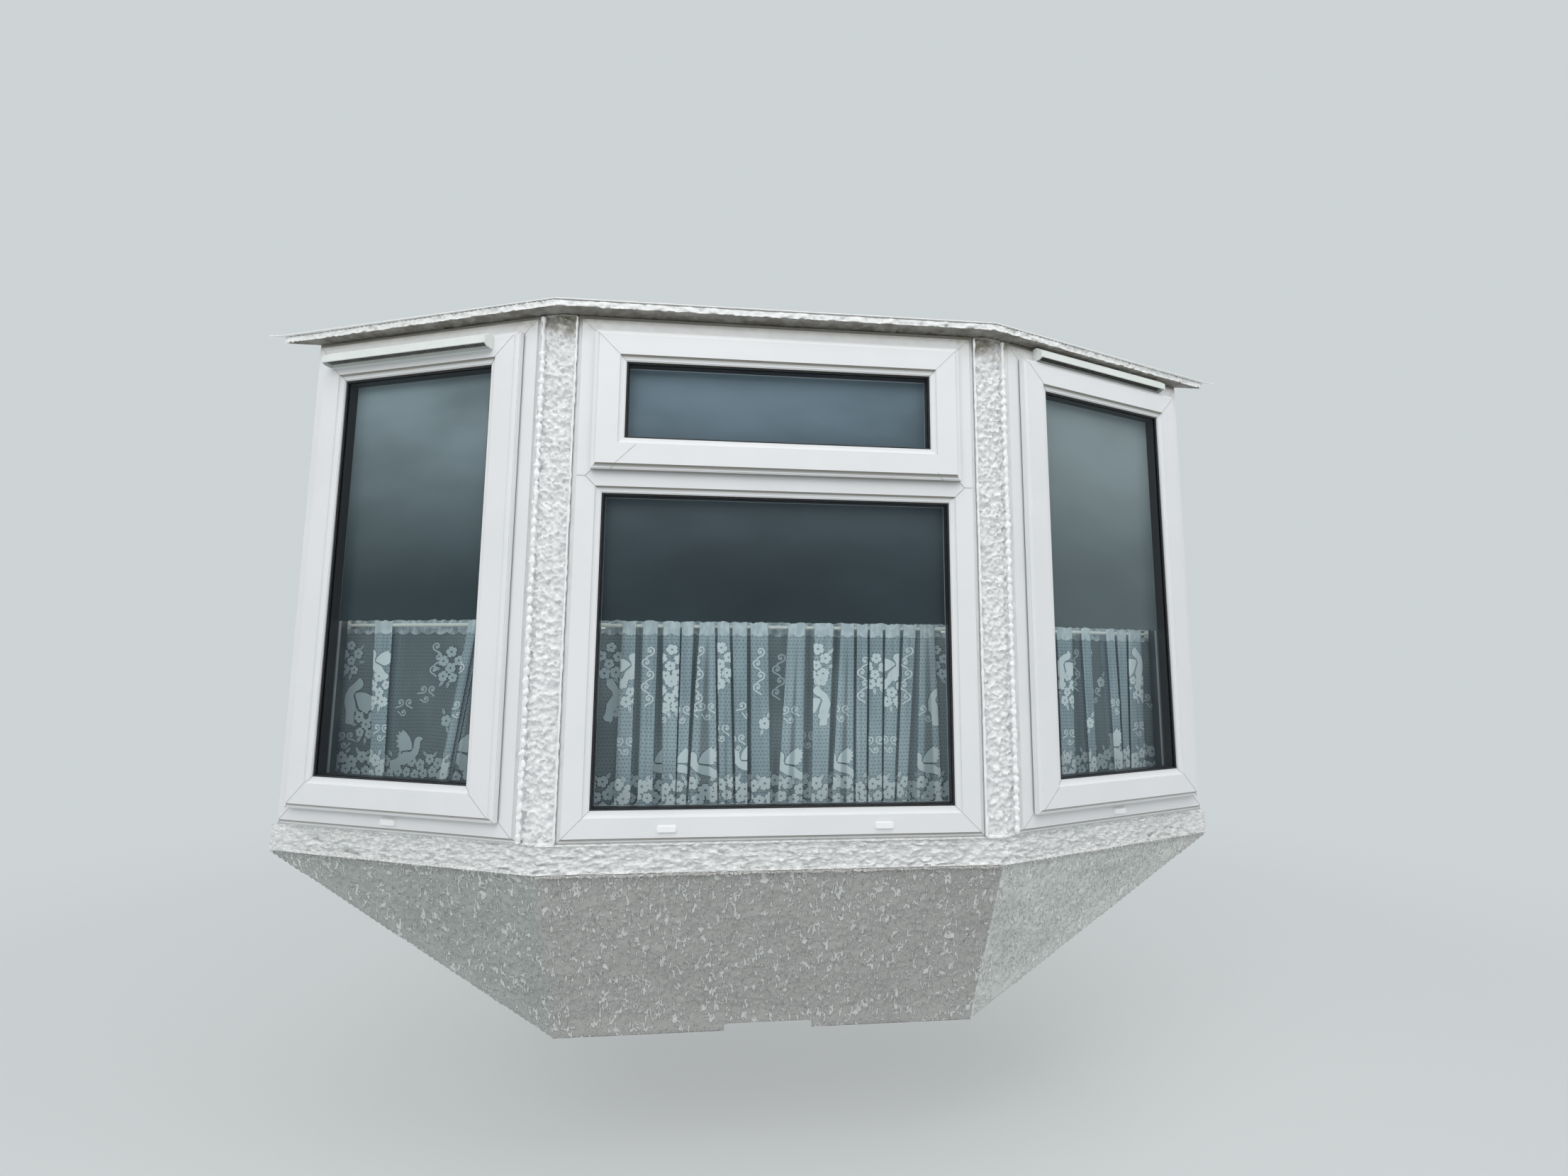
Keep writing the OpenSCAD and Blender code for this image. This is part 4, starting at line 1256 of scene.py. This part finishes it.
def spray(at, chance):
    """A loose bunch of blossoms with leaves between them."""
    shapes = []
    for x, z in ((0, 0), (19, 15), (-17, 17), (-9, -21), (15, -19), (3, 36)):
        shapes += blossom((at[0] + x, at[1] + z), chance.uniform(0.78, 1.0), some_turn(chance))
    for x, z, angle in ((30, 30, 0.9), (-28, 32, 2.2), (-26, -4, 3.0), (30, -4, 0.1),
                        (-2, -36, -1.4), (14, -36, -0.9)):
        shapes += leaf((at[0] + x * 0.8, at[1] + z * 0.8), 0.9, angle)
    return shapes


def curl_stack(at, count):
    """Curls one above the other, turned left and right by turns."""
    shapes = []
    for step in range(count):
        shapes += curl((at[0] + 4 * (-1) ** step, at[1] - 26 * step), 1.05, 0.5, step % 2 == 1)
    return shapes


def curl_three(at, chance):
    tilt = chance.uniform(-0.3, 0.3)
    return (curl((at[0] - 11, at[1] + 9), 0.95, 0.3 + tilt)
            + curl((at[0] + 11, at[1] + 9), 0.95, 0.3 - tilt, True)
            + curl((at[0] + 2, at[1] - 13), 0.85, -0.8 + tilt, tilt > 0))


def border(width, foot, chance):
    """The garland that runs along the hem: rows of blossoms and a row of leaves."""
    shapes = []
    pitch = 25.0
    for step in range(int(width / pitch)):
        x = 14 + step * pitch
        shapes += blossom((x, foot + 49 + 8 * math.sin(step * 2.1)),
                          chance.uniform(0.9, 1.12), some_turn(chance))
        shapes += blossom((x + pitch / 2, foot + 24 + 5 * math.sin(step * 1.7)),
                          chance.uniform(0.82, 1.0), some_turn(chance))
        shapes += blossom((x + 3, foot + 4), 0.72, some_turn(chance))
        if step % 2:
            shapes += leaf((x - 9, foot + 60), 0.9, math.pi / 2 + chance.uniform(0.2, 0.9))
            shapes += leaf((x + 8, foot + 61), 0.9, math.pi / 2 - chance.uniform(0.2, 0.9))
    return shapes


# %% [markdown]
# ## Where the figures show
# The table says what is seen from the street, in millimetres: along the window, from the
# same point as the folds, and up from the origin. A dove has a size, an angle and a side
# that it looks to, and a stack of curls has a number. The foot is how far the garland
# stands above the hem.

# %% Where the figures show
LACE = {
    "centre": {
        "doves": [(-250, 190, 0.75, 0, True), (-203, 192, 0.7, 0, True), (-152, 190, 0.8, 0, True),
                  (-64, 196, 0.75, 0, True), (34, 188, 0.8, 6, True), (151, 190, 0.72, 0, True),
                  (347, 188, 0.78, 0, True), (-322, 396, 0.7, 35, False),
                  (267, 400, 0.7, 35, False), (100, 318, 0.85, 65, False), (374, 318, 0.9, 60, True),
                  (-364, 328, 0.9, 50, False)],
        "sprays": [(-364, 404), (-315, 345), (-231, 400), (-231, 330), (-122, 405), (92, 405),
                   (226, 385), (264, 345), (372, 405)],
        "single": [(-350, 300), (109, 296), (-22, 277), (-122, 362), (104, 372)],
        "stacks": [(-279, 434, 5), (-168, 436, 6), (-37, 434, 4), (9, 420, 4), (200, 415, 4),
                   (301, 438, 5)],
        "threes": [(-324, 232), (-250, 297), (-204, 298), (-150, 305), (-118, 256), (-59, 306),
                   (-82, 236), (34, 298), (75, 238), (148, 300), (224, 232), (258, 232), (346, 300)],
        "foot": 20},
    "left": {
        "doves": [(344, 206, 1, 0, True), (206, 208, 0.9, 0, False), (422, 400, 0.75, 20, False),
                  (492, 315, 1.05, 65, False)],
        "sprays": [(512, 405), (414, 335), (246, 392), (462, 262)],
        "single": [(250, 276)],
        "stacks": [(284, 440, 3), (207, 420, 2)],
        "threes": [(300, 334), (362, 305), (402, 247), (510, 225), (196, 304)],
        "foot": 60},
    "right": {
        "doves": [(374, 208, 0.95, 0, True), (512, 189, 0.9, 10, True), (468, 405, 1, 60, False),
                  (219, 400, 0.9, 70, True)],
        "sprays": [(224, 345), (470, 352)],
        "single": [(296, 269), (359, 364)],
        "stacks": [(272, 438, 4), (321, 440, 1)],
        "threes": [(334, 334), (388, 308), (224, 240), (467, 247), (525, 318)],
        "foot": 60},
}
FIGURE_SEED = 3


def figure_outlines(name, hanging, chance):
    """The outlines of one curtain, flat on its cloth and in metres: solids and curls."""
    middle = 1000 * CENTRE_WIDTH / 2 if name == "centre" else 0
    plan = LACE[name]

    def spot(x, z):
        """The place on the flat cloth that is foremost where a figure is seen."""
        down = CURTAIN_HEAD - z / 1000
        return 1000 * hanging.across_seen((x + middle) / 1000, down), z - 1000 * CURTAIN_HEM

    solid = border(1000 * hanging.width, plan["foot"], chance)
    for x, z, size, angle, mirror in plan["doves"]:
        solid += dove(spot(x, z), size, angle, mirror)
    for x, z in plan["sprays"]:
        solid += spray(spot(x, z), chance)
    for x, z in plan["single"]:
        at = spot(x, z)
        solid += blossom(at, 1.0, some_turn(chance)) + leaf((at[0] + 6, at[1] + 12), 0.9, 1.1)
        solid += leaf((at[0] - 4, at[1] - 12), 0.8, -1.9)
    lines = []
    for x, z, count in plan["stacks"]:
        lines += curl_stack(spot(x, z), count)
    for x, z in plan["threes"]:
        lines += curl_three(spot(x, z), chance)

    def fitting(shapes):
        """The shapes that lie wholly on the cloth, below its head."""
        return [outline for outline in map(in_metres, shapes)
                if all(0.003 < x < hanging.width - 0.003 and 0.003 < z < CURTAIN_DROP - 0.040
                       for x, z in outline)]
    return fitting(solid), fitting(lines)


drawn = {name: figure_outlines(name, hanging, random.Random(FIGURE_SEED))
         for name, hanging in hangings.items()}
print("figures:", {name: len(outlines) for name, (outlines, _) in drawn.items()})

# %% [markdown]
# ## Hanging the figures
# A flat figure laid on a fold would cut through the cloth, as its straight edges can't
# bend. So each outline is first cut along the columns of the sheet, and then each of its
# points moves to its place on the cloth, a hair in front of it. The open line around a
# figure is the same outline, grown a little and laid between figure and net.

# %% Hanging the figures
RIM_WIDTH = 0.0012
RIM_LIFT, LACE_LIFT = 0.0004, 0.0008


def grown(points, by):
    """The outline pushed out along its own corners."""
    area = sum(a[0] * b[1] - b[0] * a[1] for a, b in zip(points, points[1:] + points[:1]))
    way = 1 if area > 0 else -1
    result = []
    for before, here, after in zip(points[-1:] + points[:-1], points, points[1:] + points[:1]):
        dx, dy = after[0] - before[0], after[1] - before[1]
        length = max(math.hypot(dx, dy), 1e-6)
        result.append((here[0] + way * by * dy / length, here[1] - way * by * dx / length))
    return result


def hung_figures(name, hanging, outlines, lift):
    """Flat outlines cut on the sheet's columns and moved onto the cloth."""
    step = hanging.width / hanging.count
    flat = bmesh.new()
    for outline in outlines:
        part = bmesh.new()
        part.faces.new([part.verts.new((x, z, 0)) for x, z in outline])
        bmesh.ops.triangulate(part, faces=part.faces[:])
        reach = [x for x, z in outline]
        for column in range(math.ceil(min(reach) / step), math.floor(max(reach) / step) + 1):
            bmesh.ops.bisect_plane(part, geom=part.verts[:] + part.edges[:] + part.faces[:],
                                   dist=1e-7, plane_co=(column * step, 0, 0), plane_no=(1, 0, 0))
        copied = {vertex: flat.verts.new(vertex.co) for vertex in part.verts}
        for face in part.faces:
            flat.faces.new([copied[vertex] for vertex in face.verts])
        part.free()
    mesh = bpy.data.meshes.new(name)
    flat.to_mesh(mesh)
    flat.free()
    spots = [(vertex.co.x, CURTAIN_DROP - vertex.co.y) for vertex in mesh.vertices]
    for vertex, spot in zip(mesh.vertices, spots):
        vertex.co = hanging.axes @ hanging.place_on(*spot, lift)
    return cloth_piece(mesh, hanging, spots)


for name, (outlines, lines) in drawn.items():
    hanging = hangings[name]
    halos = [grown(outline, RIM_WIDTH) for outline in outlines]
    rim = hung_figures("lace_rim_" + name, hanging, halos, RIM_LIFT)
    finish_piece(rim, NET_RIM, "net")
    lace = hung_figures("lace_" + name, hanging, outlines + lines, LACE_LIFT)
    finish_piece(lace, NET_MOTIF, "net")

# %% [markdown]
# ## Sealant
# White sealant closes the joint between each post and the frames beside it. It was pushed
# in by hand, so it bulges: a fat, blobby bead with a column of dabs stands against the
# side window and a slim bead against the centre window. A short tube or a single dab is
# repeated upwards with an Array modifier, and noise swells it to and fro.

# %% Sealant
BEAD_FOOT = FOOT_Z + 0.002
BEAD_STEP = 0.004
BEAD_COUNT = int((FRAME_HEIGHT - 0.006) / BEAD_STEP)
DAB_STEP = 0.0205
DAB_COUNT = int((FRAME_HEIGHT - 0.07) / DAB_STEP)
BLOBS = relief_texture("blobs", "CLOUDS", 0.016, noise_depth=1, contrast=2.4)
DABS = relief_texture("dabs", "CLOUDS", 0.006, noise_depth=1, contrast=1.6)
PUSHES = relief_texture("pushes", "CLOUDS", 0.017, noise_depth=1, cloud_type="COLOR")


def stacked(piece, count, step, **settings):
    """Repeats a piece upwards."""
    add_modifier(piece, "ARRAY", count=count, use_relative_offset=False,
                 use_constant_offset=True, constant_offset_displace=(0, 0, step), **settings)


def sealant_bead(x, y, radius, swell):
    """One bead from the foot to the head of the frames, closed at its ends."""
    bpy.ops.object.select_all(action="DESELECT")
    bpy.ops.mesh.primitive_cylinder_add(vertices=10, radius=radius, depth=BEAD_STEP,
                                        end_fill_type="NOTHING",
                                        location=(x, y, BEAD_FOOT + BEAD_STEP / 2))
    bead = settled("bead")
    stacked(bead, BEAD_COUNT, BEAD_STEP, use_merge_vertices=True, merge_threshold=0.0001)
    work_on(bead)
    bpy.ops.mesh.select_all(action="DESELECT")
    bpy.ops.mesh.select_mode(type="EDGE")
    bpy.ops.mesh.select_non_manifold()
    bpy.ops.mesh.fill()
    close_up()
    for texture, depth in ((BLOBS, swell), (DABS, swell * 0.35)):
        add_modifier(bead, "DISPLACE", texture=texture, strength=depth, mid_level=0.55,
                     texture_coords="LOCAL")
    return bead


def sealant_dabs(x, y):
    """A column of separate dabs, each pushed to and fro by soft noise."""
    bpy.ops.object.select_all(action="DESELECT")
    bpy.ops.mesh.primitive_uv_sphere_add(segments=14, ring_count=10, radius=0.0050,
                                         location=(x, y, FOOT_Z + 0.012), scale=(1.25, 0.85, 1.75))
    dabs = settled("dabs")
    stacked(dabs, DAB_COUNT, DAB_STEP)
    add_modifier(dabs, "DISPLACE", texture=PUSHES, strength=0.0065, mid_level=0.5,
                 direction="RGB_TO_XYZ", texture_coords="LOCAL")
    return dabs


beads = []
for side in (-1, 1):
    near = window_axes(side) @ Vector((-0.0025, 0.0008, 0))
    beads.append(sealant_bead(near.x, near.y, radius=0.0040, swell=0.0030))
    beads.append(sealant_dabs(near.x - side * 0.0012, near.y - 0.0012))
    beads.append(sealant_bead(side * (CENTRE_WIDTH / 2 + 0.0016), FRONT_Y + 0.0016,
                              radius=0.0026, swell=0.0018))
SEALANT_SKIN = plain_finish("sealant_skin", 0.42, (0.86, 0.87, 0.87), (0.95, 0.955, 0.96), 45.0,
                            0.0004)
finish_piece(joined(beads, "sealant_beads"), SEALANT_SKIN, "sealant", "sealant", smooth=70)

# %% [markdown]
# ## Welded mitres
# The bars of a plastic window are melted together at forty-five degrees, and the trimmed
# weld shows as a fine grey line across each corner. To find that line exactly, a copy of
# the frame is cut with the mitre plane and everything but the cut is thrown away. The
# loop that remains runs over every moulding, and becomes a hair-thin bead.

# %% Welded mitres
WELD_RADIUS = 0.00048
WELD_REACH = 0.135
SASH_REVEAL = 0.041
FAN_FOOT = 0.719


def weld_loop(node, side, corner_x, corner_z, slope):
    """The cut of a node by the mitre plane through one corner, as edges."""
    axes = window_axes(side)
    corner = axes @ Vector((corner_x, 0, corner_z))
    normal = axes.to_3x3() @ Vector((slope, 0, -1)).normalized()
    piece = solid_copy(node, node + "_weld")
    work_on(piece)
    bpy.ops.mesh.bisect(plane_co=corner, plane_no=normal, clear_inner=True, clear_outer=True)
    bpy.ops.object.mode_set(mode="OBJECT")
    mesh = bmesh.new()
    mesh.from_mesh(piece.data)
    far = [v for v in mesh.verts if (v.co - corner).length > WELD_REACH
           or abs((v.co - corner).dot(normal)) > 0.0002]
    bmesh.ops.delete(mesh, geom=far, context="VERTS")
    bmesh.ops.delete(mesh, geom=mesh.faces[:], context="FACES_ONLY")
    mesh.to_mesh(piece.data)
    mesh.free()
    return piece


def window_welds(node, side, left, right, foot, head):
    corners = ((left, foot, 1), (right, foot, -1), (left, head, -1), (right, head, 1))
    return [weld_loop(node, side, *corner) for corner in corners]


loops = []
for side, width in WIDTHS.items():
    loops += window_welds("frame_" + SIDE_NAMES[side], side, 0, width, 0, FRAME_HEIGHT)
    foot = SASH_REVEAL if side else FAN_FOOT
    sash = "sash_" + (SIDE_NAMES[side] if side else "fanlight")
    loops += window_welds(sash, side, SASH_REVEAL, width - SASH_REVEAL, foot,
                          FRAME_HEIGHT - SASH_REVEAL)
welds = joined(loops, "weld_lines")
bpy.ops.object.convert(target="CURVE")
welds.data.bevel_depth = WELD_RADIUS
welds.data.bevel_resolution = 0
bpy.ops.object.convert(target="MESH")
WELD_LINE = plain_finish("weld_line", 0.6, (0.27, 0.27, 0.27), (0.40, 0.40, 0.40), 70.0, 0.0002)
finish_piece(welds, WELD_LINE, "upvc")

# %% [markdown]
# ## Transom welds
# The transom between fanlight and fixed light meets the jambs in a pointed weld: two short
# diagonals and a level hairline out to the moulding. Thin bars lie on the flat of the
# frame, each a plane that is extruded and turned along its line.

# %% Transom welds
TRANSOM_FOOT, TRANSOM_HEAD = 0.714, 0.782
FACE_WIDTH, MOULDING = 0.063, 0.013
HAIRLINE_END = 0.012


def hairline(first, second):
    """A thin bar on the face of the centre frame, from one point to another."""
    axes = window_axes(0)
    start, end = (axes @ Vector((x, 0, z)) for x, z in (first, second))
    bpy.ops.object.select_all(action="DESELECT")
    bpy.ops.mesh.primitive_plane_add(size=2 * WELD_RADIUS, location=start,
                                     rotation=(end - start).to_track_quat("Z", "Y").to_euler())
    work_on(bpy.context.object)
    bpy.ops.mesh.extrude_region_move(TRANSFORM_OT_translate={"value": end - start})
    close_up()
    return settled("hairline")


half = 0.5 * (TRANSOM_HEAD - TRANSOM_FOOT)
tip_z = TRANSOM_FOOT + half
bars = []
for place_x in (lambda x: x, lambda x: CENTRE_WIDTH - x):
    tip = (place_x(FACE_WIDTH - half), tip_z)
    flat_x = place_x(FACE_WIDTH - MOULDING)
    bars.append(hairline((flat_x, TRANSOM_FOOT + MOULDING), tip))
    bars.append(hairline(tip, (flat_x, TRANSOM_HEAD - MOULDING)))
    bars.append(hairline(tip, (place_x(HAIRLINE_END), tip_z)))
finish_piece(joined(bars, "transom_welds"), WELD_LINE, "upvc")
